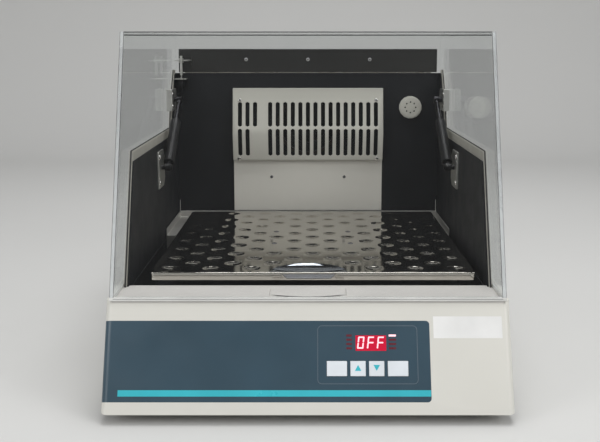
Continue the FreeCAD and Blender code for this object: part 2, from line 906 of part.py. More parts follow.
def vent_cover():
    """Bent cover with two rows of slots, a few of them left blind, and a flat panel under it."""
    out = "rear_face - "
    front = [
        ("vent_top - vent_flange", "vent_top_proud"),
        ("vent_crease", "vent_proud"),
        ("vent_bottom", "vent_bottom_proud"),
    ]
    face = [(f"{out}{proud}", height) for height, proud in front]
    outline = [(f"{out}vent_top_proud", "vent_top"), *face, ("rear_face - sheet", "vent_bottom")]
    outline += [("rear_face", "vent_bottom"), ("rear_face", "vent_top")]
    shell = prism("YZ", "-vent_half", "vent_half", outline)
    inside = [(f"{out}{proud} + sheet", height) for height, proud in front[:2]]
    inner = [(f"{out}vent_top_proud + sheet", "vent_top - sheet"), *inside]
    inner += [
        ("rear_face - vent_bottom_proud + sheet", "vent_bottom + sheet"),
        ("rear_face + overrun", "vent_bottom + sheet"),
        ("rear_face + overrun", "vent_top - sheet"),
    ]
    hollow = prism("YZ", "sheet - vent_half", "vent_half - sheet", inner)
    cuts = []
    rows = (("slot_upper_low", "slot_upper_high", (3,)), ("slot_lower_low", "slot_lower_high", (2, 3)))
    count = 19
    for low, high, blind in rows:
        for i in range(count):
            if i in blind:
                continue
            x = f"({2 * i - count + 1} * slot_pitch / 2)"
            ends = (f"{x} - slot_width / 2", f"{x} + slot_width / 2")
            depth = ("rear_face - vent_proud - overrun", "rear_face - sheet * 2")
            cuts.append(box(ends, depth, (f"{low} + slot_width / 2", f"{high} - slot_width / 2")))
            for z in (f"{low} + slot_width / 2", f"{high} - slot_width / 2"):
                cuts.append(opening("y", x, z, *depth, "slot_width / 2", 6))
    keep("vent_cover", cut(shell, hollow, *cuts))
    panel = rect(("-vent_half", "vent_half"), ("baffle_foot", "vent_bottom"))
    keep("baffle_panel", prism("XZ", "rear_face - sheet", "rear_face", panel))


def fan():
    """Centrifugal wheel on a horizontal shaft, its drum housing, motor, heater ring and probe."""
    z = "fan_height"
    front = "rear_back + sheet * 2"
    back = f"{front} + fan_depth"
    disc = bar("y", "0", z, back, f"{back} + sheet", "fan_radius")
    ring = cut(
        bar("y", "0", z, front, f"{front} + sheet", "fan_radius"),
        bar("y", "0", z, "rear_back", back, "fan_inner"),
    )
    shaft_y = (f"{back} - fan_shaft", "rear_back + scroll_depth + fan_motor_long / 2")
    shaft = rod("y", "0", z, *shaft_y, "fan_shaft")
    blade = rect(
        ("fan_inner + fan_blade / 2", "fan_radius - fan_blade / 2"),
        ("-fan_blade / 2", "fan_blade / 2"),
    )
    blades = prism("XZ", f"{front} + sheet", back, blade)
    pad_feature = blades.Tip
    pattern = blades.newObject("PartDesign::PolarPattern", "Blades")
    pattern.Originals = [pad_feature]
    axis = [f for f in blades.Origin.OriginFeatures if f.Role == "Y_Axis"][0]
    pattern.Axis = (axis, [""])
    pattern.Angle = 360
    pattern.Occurrences = 12
    blades.Tip = pattern
    doc.recompute()
    place(blades, "0", "0", z)
    keep("fan_wheel", fuse(disc, ring, shaft, blades))

    start = "rear_back + scroll_depth"
    drum = bar("y", "0", z, "rear_back", start, "scroll_radius")
    room = bar("y", "0", z, "rear_back - overrun", f"{start} - sheet", "scroll_radius - sheet")
    motor = bar("y", "0", z, start, f"{start} + fan_motor_long", "fan_motor_radius")
    deep = (f"{start} - sheet - overrun", f"{start} + fan_motor_long / 2 + overrun")
    bore = opening("y", "0", z, *deep, "fan_shaft + fit", 12)
    keep("blower", cut(fuse(cut(drum, room), motor), bore))

    near = ("rear_face - heater_stand - heater_radius", "rear_face - heater_stand + heater_radius")
    outer = bar("y", "0", z, *near, "heater_ring + heater_radius")
    inner = bar("y", "0", z, *grown(near, "overrun"), "heater_ring - heater_radius")
    ends = [
        bar("y", f"{sign} * heater_ring", z, near[1], "rear_back + heater_stand", "heater_radius", 8)
        for sign in (-1, 1)
    ]
    keep("heater_ring", fuse(cut(outer, inner), *ends))


def sensor():
    """Vented cap over the temperature probe."""
    x, z = "sensor_x", "sensor_z"
    face = "rear_face - sensor_thick"
    cap = fuse(
        bar("y", x, z, face, "rear_face", "sensor_radius * 0.9"),
        bar("y", x, z, f"{face} + sheet", "rear_face", "sensor_radius"),
    )
    room = bar("y", x, z, f"{face} + sheet * 2", "rear_face + overrun", "sensor_radius * 0.7", 12)
    holes = []
    for i in range(8):
        angle = i * 45
        hx = f"{x} + sensor_hole_ring * cos({angle})"
        hz = f"{z} + sensor_hole_ring * sin({angle})"
        holes.append(bar("y", hx, hz, f"{face} - overrun", "rear_face", "sensor_hole", 6))
    keep("sensor_cap", cut(cap, room, *holes))
    tip = "rear_face - sensor_thick / 2"
    keep("temperature_probe", bar("y", x, z, tip, f"{tip} + probe_long", "probe_radius", 8))


def lid_front(z):
    """Y of the lid's outer front face at a height."""
    return f"lid_foot + ({z} - ledge_height) * tan(lid_lean)"


def lid():
    """Clear sheets bonded at their edges, on a foot strip, with the plate and leaf that hinge it."""
    between = ("-lid_inner", "lid_inner")
    slab = [
        (lid_front("strip_top"), "strip_top"),
        (lid_front("height"), "height"),
        (lid_front("height") + " + lid_slant", "height"),
        (lid_front("strip_top") + " + lid_slant", "strip_top"),
    ]
    keep("lid_front_panel", prism("YZ", *between, slab))
    roof = [
        (lid_front("height") + " + lid_slant", "height"),
        ("lid_rear", "height"),
        ("lid_rear", "lid_inner_top"),
        (lid_front("lid_inner_top") + " + lid_slant", "lid_inner_top"),
    ]
    keep("lid_top_panel", prism("YZ", *between, roof))
    back = rect(("lid_rear - lid_wall", "lid_rear"), ("lid_lip", "lid_inner_top"))
    keep("lid_rear_panel", prism("YZ", *between, back))
    flank = [
        (lid_front("strip_top"), "strip_top"),
        (lid_front("height"), "height"),
        ("lid_rear", "height"),
        ("lid_rear", "strip_top"),
    ]
    for name, side in SIDES.items():
        keep(f"lid_{name}_panel", prism("YZ", *span(side, "lid_inner", "lid_out"), flank))
    foot = [
        (lid_front("lid_base"), "lid_base"),
        (lid_front("strip_top"), "strip_top"),
        (lid_front("strip_top") + " + lid_slant", "strip_top"),
        (lid_front("lid_base") + " + lid_slant", "lid_base"),
    ]
    bar = prism("YZ", "-lid_out", "lid_out", foot)
    rails = []
    for side in SIDES.values():
        run = (lid_front("strip_top") + " + lid_slant / 2", "lid_rear")
        rails.append(box(span(side, "lid_inner", "lid_out"), run, ("lid_base", "strip_top")))
    keep("lid_foot_strip", fuse(bar, *rails))
    plate = box(
        ("-liner_face", "liner_face"),
        ("lid_rear - lid_wall - hinge_plate_wall", "lid_rear - lid_wall"),
        ("lid_lip", "hinge_plate_top"),
    )
    keep("hinge_plate", plate)


def hinge():
    """Piano hinge: knuckles in turn on the base leaf and on the lid leaf, round one pin."""
    count = int(number("knuckle_count"))
    long = "(hinge_half * 2 / knuckle_count)"
    knuckles = {0: [], 1: []}
    clear = {0: [], 1: []}
    for i in range(count):
        low, high = f"{i} * {long} - hinge_half", f"{i + 1} * {long} - hinge_half"
        ends = (f"{low} + fit / 2", f"{high} - fit / 2")
        knuckles[i % 2].append(bar("x", "hinge_y", "hinge_z", *ends, "hinge_radius", 12))
        clear[1 - i % 2].append(
            box(
                (f"{low} - fit / 2", f"{high} + fit / 2"),
                ("hinge_y - hinge_radius * 2", "hinge_y + hinge_radius + fit"),
                ("hinge_z - hinge_radius - fit", "hinge_z + hinge_radius + fit"),
            )
        )
    span_x = ("-hinge_half", "hinge_half")
    flat = box(span_x, ("hinge_y", "hinge_y + hinge_reach"), ("housing_top", "housing_top + hinge_leaf"))
    upright = box(span_x, ("lid_rear", "lid_rear + hinge_leaf"), ("hinge_z + fit", "hinge_z + hinge_reach"))
    foot = box(
        span_x,
        ("lid_rear", "hinge_y"),
        ("hinge_z + hinge_radius - hinge_leaf / 2", "hinge_z + hinge_radius + hinge_leaf / 2"),
    )
    pin = bar("x", "hinge_y", "hinge_z", "fit - hinge_half", "hinge_half - fit", "pin_radius")
    bore = rod("x", "hinge_y", "hinge_z", *grown(span_x, "overrun"), "pin_radius + running")
    base_leaf = fuse(cut(flat, *clear[0]), *knuckles[0], pin)
    keep("base_hinge_leaf", base_leaf)
    lid_leaf = cut(fuse(cut(fuse(upright, foot), *clear[1]), *knuckles[1]), bore)
    keep("lid_hinge_leaf", lid_leaf)


def chamfered(y, z, cut_by):
    """Plate outline with its two inner corners cut off."""
    return [
        (y[0], z[0]),
        (f"{y[1]} - {cut_by}", z[0]),
        (y[1], f"{z[0]} + {cut_by}"),
        (y[1], f"{z[1]} - {cut_by}"),
        (f"{y[1]} - {cut_by}", z[1]),
        (y[0], z[1]),
    ]


def struts():
    """Gas strut on each side, from a bracket on the chamber wall up to one on the lid."""
    low_plates, high_plates = [], []
    for name, side in SIDES.items():
        y = ("strut_low_y - low_plate_y * 0.4", "strut_low_y + low_plate_y * 0.6")
        z = ("strut_low_z - low_plate_z * 0.55", "strut_low_z + low_plate_z * 0.45")
        face = "liner_face - plate_wall"
        plate = prism("YZ", *span(side, face, "liner_face"), chamfered(y, z, "plate_chamfer"))
        inner = "strut_x - eye_half - fit * 2"
        at = ("strut_low_y", "strut_low_z")
        stud = bar("x", *at, *span(side, inner, face), "stud_radius")
        head = bar("x", *at, *span(side, f"{inner} - angle_wall", inner), "stud_head", 12)
        low_plates.append(fuse(plate, stud, head))

        y = ("strut_high_y - high_plate_y * 0.38", "strut_high_y + high_plate_y * 0.62")
        z = ("strut_high_z - high_plate_z / 2", "strut_high_z + high_plate_z / 2")
        plate = prism(
            "YZ",
            *span(side, "high_plate_out", "high_plate_out + plate_wall"),
            chamfered(y, z, "plate_chamfer / 2"),
        )
        spacer = box(
            span(side, "high_plate_out + plate_wall", "lid_inner"),
            (y[0], "strut_high_y - stud_radius / 2"),
            z,
        )
        high_plates.append(fuse(plate, spacer))

        start, end = "cylinder_start", "cylinder_start + cylinder_long"
        tube = bar("z", "0", "0", start, end, "strut_radius")
        well = (f"{start} + strut_tube * 2", f"{end} - strut_tube * 2")
        room = opening("z", "0", "0", *well, "strut_radius - strut_tube")
        neck = bar("z", "0", "0", "0", f"{start} + strut_tube", "rod_radius", 12)
        mouth = opening("z", "0", "0", well[0], f"{end} + overrun", "rod_radius + running", 12)
        eye = bar("x", "0", "0", "-eye_half", "eye_half", "eye_radius", 12)
        hole = rod("x", "0", "0", "-eye_half - overrun", "eye_half + overrun", "stud_radius + running")
        barrel = cut(fuse(tube, neck, eye), room, mouth, hole)
        shaft = bar("z", "0", "0", "rod_start", "strut_long - eye_radius / 2", "rod_radius", 12)
        piston = bar("z", "0", "0", "rod_start", "rod_start + strut_tube * 3", "strut_radius - strut_tube")
        far_eye = bar("x", "0", "strut_long", "-eye_half", "eye_half", "eye_radius", 12)
        reach = span(side, "0", "high_plate_out - strut_x - fit")
        stud = bar("x", "0", "strut_long", *reach, "stud_radius", 12)
        slider = fuse(shaft, piston, far_eye, stud)
        for node, piece in ((f"strut_cylinder_{name}", barrel), (f"strut_rod_{name}", slider)):
            x = "strut_x" if side > 0 else "-strut_x"
            place(piece, x, "strut_low_y", "strut_low_z", ALONG_X, "atan2(strut_dz; strut_dy) - 90 deg")
            keep(node, piece)
    keep("strut_brackets_lower", group(*low_plates))
    keep("strut_brackets_upper", group(*high_plates))


def lid_switch():
    """Switch under an angle plate on the rear wall, its plunger, and the striker bolt on the lid."""
    plate = "switch_plate_z"
    x = ("-liner_face + fit", "-liner_face + fit + switch_plate_wide")
    shelf = box(x, ("rear_face - switch_plate_long", "rear_face"), (f"{plate} - angle_wall", plate))
    foot = box(x, ("rear_face - angle_wall", "rear_face"), (f"{plate} - switch_plate_wide", plate))
    half = "switch_body / 2"
    body = box(
        grown(("switch_x", "switch_x"), half),
        grown(("switch_y", "switch_y"), f"{half} * 1.5"),
        (f"{plate} - angle_wall - switch_tall", f"{plate} - angle_wall"),
    )
    deep = (f"{plate} - switch_tall", f"{plate} + overrun")
    well = opening("z", "switch_x", "switch_y", *deep, "plunger_radius + running", 12)
    bend = f"{plate} - switch_tall * 1.6"
    upright = (f"{bend} - lead_radius", f"{plate} - switch_tall")
    stub = bar("z", "switch_x", "switch_y", *upright, "lead_radius", 6)
    tail = bar("z", "0", "0", "0", "lead_long", "lead_radius", 6)
    place(tail, "switch_x", "switch_y", bend, ALONG_Y, "180 + lead_lean")
    keep("lid_switch", cut(fuse(shelf, foot, body, stub, tail), well))
    low = f"{plate} - switch_tall + fit * 4 + plunger_travel"
    keep("switch_plunger", bar("z", "switch_x", "switch_y", low, "striker_low - fit", "plunger_radius", 12))

    shelf_z = ("striker_z - angle_wall", "striker_z")
    wall = "lid_rear - lid_wall - hinge_plate_wall"
    x = ("-liner_face + fit", "-liner_face + fit + switch_plate_wide + angle_wall * 2")
    arm = box(x, ("switch_y - switch_body", wall), shelf_z)
    heel_z = ("striker_z - switch_plate_wide / 2", "striker_z + angle_wall * 4")
    heel = box(x, (f"{wall} - angle_wall", wall), heel_z)
    bolt = bar("z", "switch_x", "switch_y", "striker_low", "striker_high", "striker_radius", 12)
    nuts = []
    for low in ("striker_z", "striker_z - angle_wall - nut_thick"):
        nut = doc.addObject("Part::Prism", "Nut")
        nut.Polygon = 6
        bind(nut, "Circumradius", "nut_radius")
        bind(nut, "Height", "nut_thick")
        nuts.append(place(nut, "switch_x", "switch_y", low))
    keep("striker_bracket", fuse(arm, heel, bolt, *nuts))


def platform():
    """Shallow pan with a turned-down rim, rows of round dimples and a finger grip at the front edge."""
    half = ("-platform_half", "platform_half")
    deep = ("-platform_half_y", "platform_half_y")
    body = prism("XY", "platform_top - platform_edge", "platform_top", rect(half, deep))
    rounded(body, "platform_corner", ALONG_Z, lambda p: True)
    inner = rect(grown(half, "-rim_wall"), grown(deep, "-rim_wall"))
    pocket(body, "XY", "platform_top - platform_edge - overrun", "platform_under", inner)
    front = "-platform_half_y + rim_wall"
    grip_x = grown(("grip_offset", "grip_offset"), "grip_half + grip_wall * 2")
    grip_y = (front, f"{front} + grip_reach + grip_wall")
    block = box(grip_x, grip_y, ("platform_top - grip_depth - grip_wall", "platform_under"))
    sink = "atan2(grip_depth; grip_reach - rim_wall)"
    arc = "((grip_half * grip_half + grip_depth * grip_depth) / (2 * grip_depth))"
    bowl = doc.addObject("Part::Cylinder", "Bowl")
    bind(bowl, "Radius", arc)
    bind(bowl, "Height", "grip_reach * 2")
    middle = f"platform_top - grip_depth + {arc} / cos({sink})"
    place(bowl, "grip_offset", front, middle, ALONG_X, f"{sink} - 90 deg")
    behind = box(half, (front, "0"), ("platform_under - platform_edge", "platform_top + platform_edge"))
    dimples = []
    dip = ("platform_top - dimple_depth", "platform_top + overrun")
    last = 14
    screws = [(5, 5), (5, 9), (9, 5), (9, 9)]
    grip = [(6, 0), (8, 0), (7, 1)]
    for row in range(last + 1):
        for column in range(row % 2, last + 1, 2):
            if (column, row) in screws + grip:
                continue
            x = f"{column - last // 2} * dimple_pitch_x"
            y = f"{row - last // 2} * dimple_pitch_y"
            dimples.append(bar("z", x, y, *dip, "dimple_radius", 6))
    through = ("platform_under - overrun", "platform_top + overrun")
    holes = [
        bar("z", f"{sx} * screw_x", f"{sy} * screw_y", *through, "screw_radius", 6)
        for sx in (-1, 1)
        for sy in (-1, 1)
    ]
    made = cut(fuse(body, block), common(bowl, behind), group(*dimples), *holes)
    keep("platform", place(made, "platform_x", "platform_y"))


def carrier():
    """Casting under the platform, with a bearing boss for the crank pin and for each idler pin."""
    outline = [
        ("-carrier_nose", "-carrier_front"),
        ("carrier_nose", "-carrier_front"),
        ("carrier_half", "-carrier_shoulder"),
        ("carrier_half", "carrier_rear"),
        ("-carrier_half", "carrier_rear"),
        ("-carrier_half", "-carrier_shoulder"),
    ]
    plate = prism("XY", "carrier_low", "platform_under", outline)
    places = [("0", "0", "crank_pin")]
    places += [(x, f"{y} - drive_y", "idler_pin") for x, y in idler_places()]
    deep = ("pin_boss_low - overrun", "pin_top + overrun / 2")
    bosses = [bar("z", x, y, "pin_boss_low", "carrier_low", f"{r} + pin_boss_wall") for x, y, r in places]
    bores = [rod("z", "0", "0", *deep, "crank_pin + running")]
    bores += [opening("z", x, y, *deep, f"{r} + fit") for x, y, r in places[1:]]
    keep("platform_carrier", place(cut(fuse(plate, *bosses), *bores), "platform_x", "platform_y"))


def drive():
    """Main crank with pulley and counterweight, three idler cranks, and the casting that carries them."""
    main = [("0", "drive_y", "shaft_radius")]
    idlers = [(x, y, "idler_shaft") for x, y in idler_places()]
    top = "casting_low + casting_wall"
    disc = bar("z", "0", "drive_y", "casting_low", top, "casting_radius", 12)
    bosses = [bar("z", x, y, "boss_low", "boss_high", f"{r} + bearing_wall") for x, y, r in main + idlers]
    columns = [
        bar(
            "z",
            f"column_ring * cos({angle})",
            f"drive_y + column_ring * sin({angle})",
            "plate_top",
            "casting_low",
            "column_radius",
            8,
        )
        for angle in (90, 210, 330)
    ]
    deep = ("boss_low - overrun", "boss_high + overrun")
    bores = [rod("z", x, y, *deep, f"{r} + running") for x, y, r in main + idlers]
    keep("drive_casting", cut(fuse(disc, *bosses, *columns), *bores))

    def crank(x, y, shaft, low, web, pin, *more):
        """Shaft, collar and web on the axis, with the pin off it."""
        parts = [
            rod("z", "0", "0", low, "web_low", shaft),
            bar("z", "0", "0", "tub_floor", "web_low", f"{shaft} + collar_wall"),
            bar("z", "0", "0", "web_low", "web_high", web),
            pin,
            *more,
        ]
        return place(fuse(*parts), x, y, "0", ALONG_Z, "rest_angle")

    rim = fuse(
        bar("z", "0", "0", "pulley_low", "pulley_high", "pulley_radius", 24),
        bar("z", "0", "0", "pulley_low", "pulley_low + pulley_rim", "pulley_radius + pulley_lip", 24),
        bar("z", "0", "0", "pulley_high - pulley_rim", "pulley_high", "pulley_radius + pulley_lip", 24),
    )
    disc = bar("z", "0", "0", "web_low", "web_high", "weight_radius", 16)
    sector = box(("-weight_radius", "-crank_pin"), ("-weight_half", "weight_half"), ("web_low", "web_high"))
    extra = (common(disc, sector), rim)
    off = ("orbit_radius", "0", "web_high", "pin_top")
    pin = rod("z", *off, "crank_pin")
    keep("drive_crank", crank("0", "drive_y", "shaft_radius", "pulley_low", "web_radius", pin, *extra))
    for i, (x, y) in enumerate(idler_places(), start=1):
        pin = bar("z", *off, "idler_pin")
        keep(f"idler_crank_{i}", crank(x, y, "idler_shaft", "boss_low", "idler_web", pin))


def belt_loop(big, small, run):
    """Closed belt line round two pulleys that lie along X, with a few short straights round each."""
    lean = math.degrees(math.asin((big - small) / run))
    points = []
    for middle, radius, start, end in ((run, small, 90 - lean, lean - 90), (0, big, lean - 90, -270 - lean)):
        steps = 8
        for i in range(steps + 1):
            angle = math.radians(start + (end - start) * i / steps)
            points.append(Vector(middle + radius * math.cos(angle), radius * math.sin(angle), 0))
    return Part.makePolygon(points + points[:1])


def motor():
    """Drive motor under the rear housing, its bracket, pulley and belt."""
    x, y = "motor_x", "motor_y"
    can = bar("z", x, y, "motor_low", "motor_high", "motor_radius", 16)
    bore = opening("z", x, y, "motor_low - overrun", "motor_low + motor_radius", "motor_shaft + fit", 12)
    plate = box(
        grown((x, x), "motor_plate_half_x"),
        grown((y, y), "motor_plate_half_y"),
        ("motor_low - motor_plate", "motor_low"),
    )
    legs = [
        bar(
            "z",
            f"{x} + {sx} * (motor_plate_half_x - motor_leg)",
            f"{y} + {sy} * (motor_plate_half_y - motor_leg)",
            "plate_top",
            "motor_low - motor_plate",
            "motor_leg",
            8,
        )
        for sx in (-1, 1)
        for sy in (-1, 1)
    ]
    hole = opening("z", x, y, "motor_low - motor_plate - overrun", "motor_low", "motor_shaft * 2", 12)
    keep("drive_motor", fuse(cut(can, bore), cut(plate, hole), *legs))
    shaft = rod("z", x, y, "pulley_low", "motor_low + motor_radius - overrun", "motor_shaft")
    wheel = fuse(
        bar("z", x, y, "pulley_low", "pulley_high", "motor_pulley", 16),
        bar("z", x, y, "pulley_low", "pulley_low + pulley_rim", "motor_pulley + pulley_lip", 16),
        bar("z", x, y, "pulley_high - pulley_rim", "pulley_high", "motor_pulley + pulley_lip", 16),
    )
    keep("motor_pulley", fuse(shaft, wheel))

    wall = number("belt_wall")
    away = Vector(number(x), number(y) - number("drive_y"), 0)
    flat = math.cos(math.radians(180 / 16))
    big, small = number("pulley_radius + fit") / flat, number("motor_pulley + fit") / flat
    outer = belt_loop(big + wall, small + wall, away.Length)
    inner = belt_loop(big, small, away.Length)
    face = Part.Face([outer, inner])
    face.validate()
    low = number("pulley_low + pulley_rim + fit")
    belt = doc.addObject("Part::Feature", "Belt")
    belt.Shape = face.extrude(Vector(0, 0, number("pulley_high - pulley_rim - fit") - low))
    angle = math.degrees(math.atan2(away.y, away.x))
    belt.Placement = FreeCAD.Placement(Vector(0, number("drive_y"), low), Rotation(ALONG_Z, angle))
    keep("drive_belt", belt)


def controls():
    """Display window, keys, and the circuit board on its standoffs behind the front."""
    window = rect(("window_left", "window_right"), ("window_low", "window_high"))
    back = "shell_wall + fit"
    keep("display_window", on_front(prism("XY", f"-({back})", "0", window)))
    face = "board_wall - board_deep"
    board_x = grown(("bay_left", "bay_right"), "board_margin")
    board_y = grown(("bay_low", "bay_high"), "0")
    board = box(board_x, board_y, ("-board_deep", face))
    module = box(
        grown(("window_left", "window_right"), "module_margin"),
        grown(("window_low", "window_high"), "module_margin"),
        (face, f"-({back})"),
    )
    legs = []
    for x in (f"{board_x[0]} + board_margin / 2", f"{board_x[1]} - board_margin / 2"):
        for y in (f"{board_y[0]} + board_margin / 2", f"{board_y[1]} - board_margin / 2"):
            legs.append(bar("z", x, y, face, "-shell_wall", "standoff_radius", 6))
    switches = []
    for ends in KEYS.values():
        middle = f"({ends[0]} + {ends[1]}) / 2"
        centre = "(key_low + key_high) / 2"
        switches.append(
            box(
                grown((middle, middle), "key_switch / 2"),
                grown((centre, centre), "key_switch / 2"),
                (face, "-key_deep - key_stem - key_travel - fit"),
            )
        )
    keep("control_board", on_front(fuse(board, module, *legs, *switches)))
    for node, ends in KEYS.items():
        body = prism("XY", "-key_deep", "key_proud", rect(ends, ("key_low", "key_high")))
        middle = f"({ends[0]} + {ends[1]}) / 2"
        centre = "(key_low + key_high) / 2"
        stem = rect(grown((middle, middle), "key_stem_radius"), grown((centre, centre), "key_stem_radius"))
        pad(body, "XY", "-key_deep - key_stem", "-key_deep", stem)
        keep(node, on_front(body))


def mains():
    """Power inlet, fuse holder and rocker switch in the back of the base."""
    x, z = "inlet_x", "mains_z"
    flange = box(grown((x, x), "inlet_half_x"), ("back_face", "back_edge"), grown((z, z), "inlet_half_z"))
    body_y = ("back_edge - inlet_deep", "back_face")
    block = box(grown((x, x), "inlet_body_x"), body_y, grown((z, z), "inlet_body_z"))
    room = box(
        grown((x, x), "inlet_body_x - rear_proud"),
        ("back_edge - inlet_deep * 0.8", "back_edge + overrun"),
        grown((z, z), "inlet_body_z - rear_proud"),
    )
    pins = []
    for dx, dz in ((-1, -1), (1, -1), (0, 1)):
        px = f"{x} + {dx} * inlet_body_x / 2"
        pz = f"{z} + {dz} * inlet_body_z / 4"
        pins.append(
            box(
                grown((px, px), "inlet_pin"),
                ("back_edge - inlet_deep * 0.85", "back_edge - inlet_deep * 0.42"),
                grown((pz, pz), "inlet_pin * 2"),
            )
        )
    socket = fuse(cut(fuse(flange, block), room), *pins)
    cap = bar("y", "fuse_x", z, "back_face", "back_edge", "fuse_radius")
    barrel = bar("y", "fuse_x", z, "back_edge - inlet_deep", "back_face", "fuse_body", 12)
    keep("power_inlet", group(socket, fuse(cap, barrel)))
    x = "rocker_x"
    outer_x, outer_z = "rocker_half_x + rocker_frame", "rocker_half_z + rocker_frame"
    frame = box(grown((x, x), outer_x), ("back_edge - rocker_deep", "back_edge"), grown((z, z), outer_z))
    lip = box(
        grown((x, x), f"{outer_x} + rocker_frame"),
        ("back_face", "back_edge"),
        grown((z, z), f"{outer_z} + rocker_frame"),
    )
    room = box(
        grown((x, x), "rocker_half_x"),
        ("back_edge - rocker_deep + rocker_frame", "back_edge + overrun"),
        grown((z, z), "rocker_half_z"),
    )
    pivot_y = "back_edge - rocker_deep * 0.45"
    pin_x = grown((x, x), "rocker_half_x + rocker_frame / 2")
    pin_hole = opening("x", pivot_y, z, *pin_x, "inlet_pin + running", 12)
    keep("power_switch_frame", cut(fuse(frame, lip), room, pin_hole))
    reach = "(rocker_half_z - fit * 4)"
    deep = "rocker_deep * 0.25"
    face_low = f"back_edge - {deep}"
    outline = [
        (f"{face_low} - {deep}", f"{z} - {reach}"),
        (face_low, f"{z} - {reach}"),
        (f"{face_low} - {deep} * 0.35", z),
        (f"{face_low} + {deep} * 0.6", f"{z} + {reach}"),
        (f"{face_low} - {deep} * 0.6", f"{z} + {reach}"),
        (f"{face_low} - {deep} * 1.6", z),
    ]
    rocker = prism("YZ", *grown((x, x), "rocker_half_x - fit"), outline)
    pin = rod("x", pivot_y, z, *grown(pin_x, "-fit"), "inlet_pin")
    keep("power_rocker", fuse(rocker, pin))


def build():
    base_shell(control_overlay())
    bottom_plate()
    feet()
    top_deck()
    side_walls()
    rear_wall()
    rear_housing()
    tub()
    vent_cover()
    fan()
    sensor()
    lid()
    hinge()
    struts()
    lid_switch()
    platform()
    carrier()
    drive()
    motor()
    controls()
    mains()


def write_parts():
    os.makedirs("parts", exist_ok=True)
    doc.recompute()
    for piece in doc.Objects:
        if "Invalid" in piece.State or "Error" in piece.State:
            raise ValueError(f"{piece.Label} is {piece.State}")
    for node, piece in nodes.items():
        if piece.Shape.isNull() or not piece.Shape.isValid():
            raise ValueError(f"{node} has no valid shape")
    for node, piece in nodes.items():
        piece.Shape.exportStep(f"parts/{node}.step")
        bounds = piece.Shape.BoundBox
        print(f"{node}: {len(piece.Shape.Solids)} solids, {bounds}")
    print(len(nodes), "nodes")


build()
write_parts()
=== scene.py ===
import json
import math
import bmesh
import bpy
import numpy as np
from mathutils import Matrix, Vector


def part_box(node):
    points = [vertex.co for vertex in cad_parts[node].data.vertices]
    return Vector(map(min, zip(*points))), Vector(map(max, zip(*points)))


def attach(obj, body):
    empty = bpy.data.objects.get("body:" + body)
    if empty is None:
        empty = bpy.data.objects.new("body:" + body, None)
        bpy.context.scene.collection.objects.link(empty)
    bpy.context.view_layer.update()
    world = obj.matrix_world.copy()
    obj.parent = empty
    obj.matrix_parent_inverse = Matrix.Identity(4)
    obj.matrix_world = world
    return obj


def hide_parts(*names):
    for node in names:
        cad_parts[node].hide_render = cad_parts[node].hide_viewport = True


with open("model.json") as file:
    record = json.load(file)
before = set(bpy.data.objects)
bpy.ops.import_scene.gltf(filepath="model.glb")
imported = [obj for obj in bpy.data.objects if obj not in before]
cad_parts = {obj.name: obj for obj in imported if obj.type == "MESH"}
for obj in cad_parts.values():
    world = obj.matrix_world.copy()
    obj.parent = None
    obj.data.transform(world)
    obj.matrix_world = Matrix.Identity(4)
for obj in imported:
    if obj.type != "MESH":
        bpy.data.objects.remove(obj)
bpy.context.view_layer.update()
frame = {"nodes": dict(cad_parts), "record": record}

nodes = frame["nodes"]
ownerOf = {node: body for body, names in frame["record"]["behaviour"]["bodies"].items() for node in names}
slotOf = {part["node"]: part["material_slot"] for part in frame["record"]["subparts"]}
collection = bpy.context.scene.collection

# Camera fitted to the photo's perspective: pitch in degrees below level, lens in millimetres.
view = {
    "place": (0.0, -1.4291, 0.4841), "pitch": 9.0, "lens": 53.22, "sensor": 36.0, "shift": (-0.0132, -0.0627),
}
cameraData = bpy.data.cameras.new("photoCamera")
cameraData.sensor_fit = "HORIZONTAL"
cameraData.sensor_width = view["sensor"]
cameraData.lens = view["lens"]
cameraData.shift_x, cameraData.shift_y = view["shift"]
camera = bpy.data.objects.new("photoCamera", cameraData)
camera.location = view["place"]
camera.rotation_euler = (math.radians(90.0 - view["pitch"]), 0.0, 0.0)
collection.objects.link(camera)
bpy.context.scene.camera = camera
bpy.context.scene.view_settings.view_transform = "Standard"

lamps = {
    "ceilingLamp": {"place": (0.2, 0.0, 2.4), "aim": (0.0, 0.0, 0.2), "size": (2.2, 1.3), "watts": 38.0},
    "leftLamp": {"place": (-2.3, -1.7, 1.3), "aim": (0.0, 0.0, 0.25), "size": (1.1, 1.1), "watts": 20.0},
    "rightLamp": {"place": (2.3, -1.7, 1.5), "aim": (0.0, 0.0, 0.25), "size": (1.1, 1.1), "watts": 24.0},
}


# A rectangular lamp whose -Z runs from its place to its aim.
def softLamp(name, place, aim, size, watts):
    lamp = bpy.data.lights.new(name, "AREA")
    lamp.shape = "RECTANGLE"
    lamp.size, lamp.size_y = size
    lamp.energy = watts
    holder = bpy.data.objects.new(name, lamp)
    holder.location = place
    holder.rotation_euler = (Vector(aim) - Vector(place)).to_track_quat("-Z", "Y").to_euler()
    collection.objects.link(holder)


for lampName, lampLook in lamps.items():
    softLamp(lampName, **lampLook)
print("camera and lamps set")


# Short calls that add nodes to a tree. A keyword sets the node's attribute, or else its input of that name.
class NodeMaker:
    def __init__(self, tree):
        self.tree = tree

    def add(self, kind, **values):
        node = self.tree.nodes.new("ShaderNode" + kind)
        for key, value in values.items():
            if hasattr(node, key):
                setattr(node, key, value)
            else:
                node.inputs[key.replace("_", " ")].default_value = value
        return node

    def join(self, source, target):
        self.tree.links.new(source, target)

    # A node whose first input comes from the source.
    def fed(self, source, kind, **values):
        node = self.add(kind, **values)
        self.join(source, node.inputs[0])
        return node

    # Links an output to the input, or sets the input to a number or an opaque colour.
    def give(self, target, value):
        if hasattr(value, "is_linked"):
            self.join(value, target)
        else:
            target.default_value = (*value, 1.0) if hasattr(value, "__len__") else value


wornFrom, wornTo = 0.51, 0.56  # pointiness where an edge starts to show wear, and where it is all worn


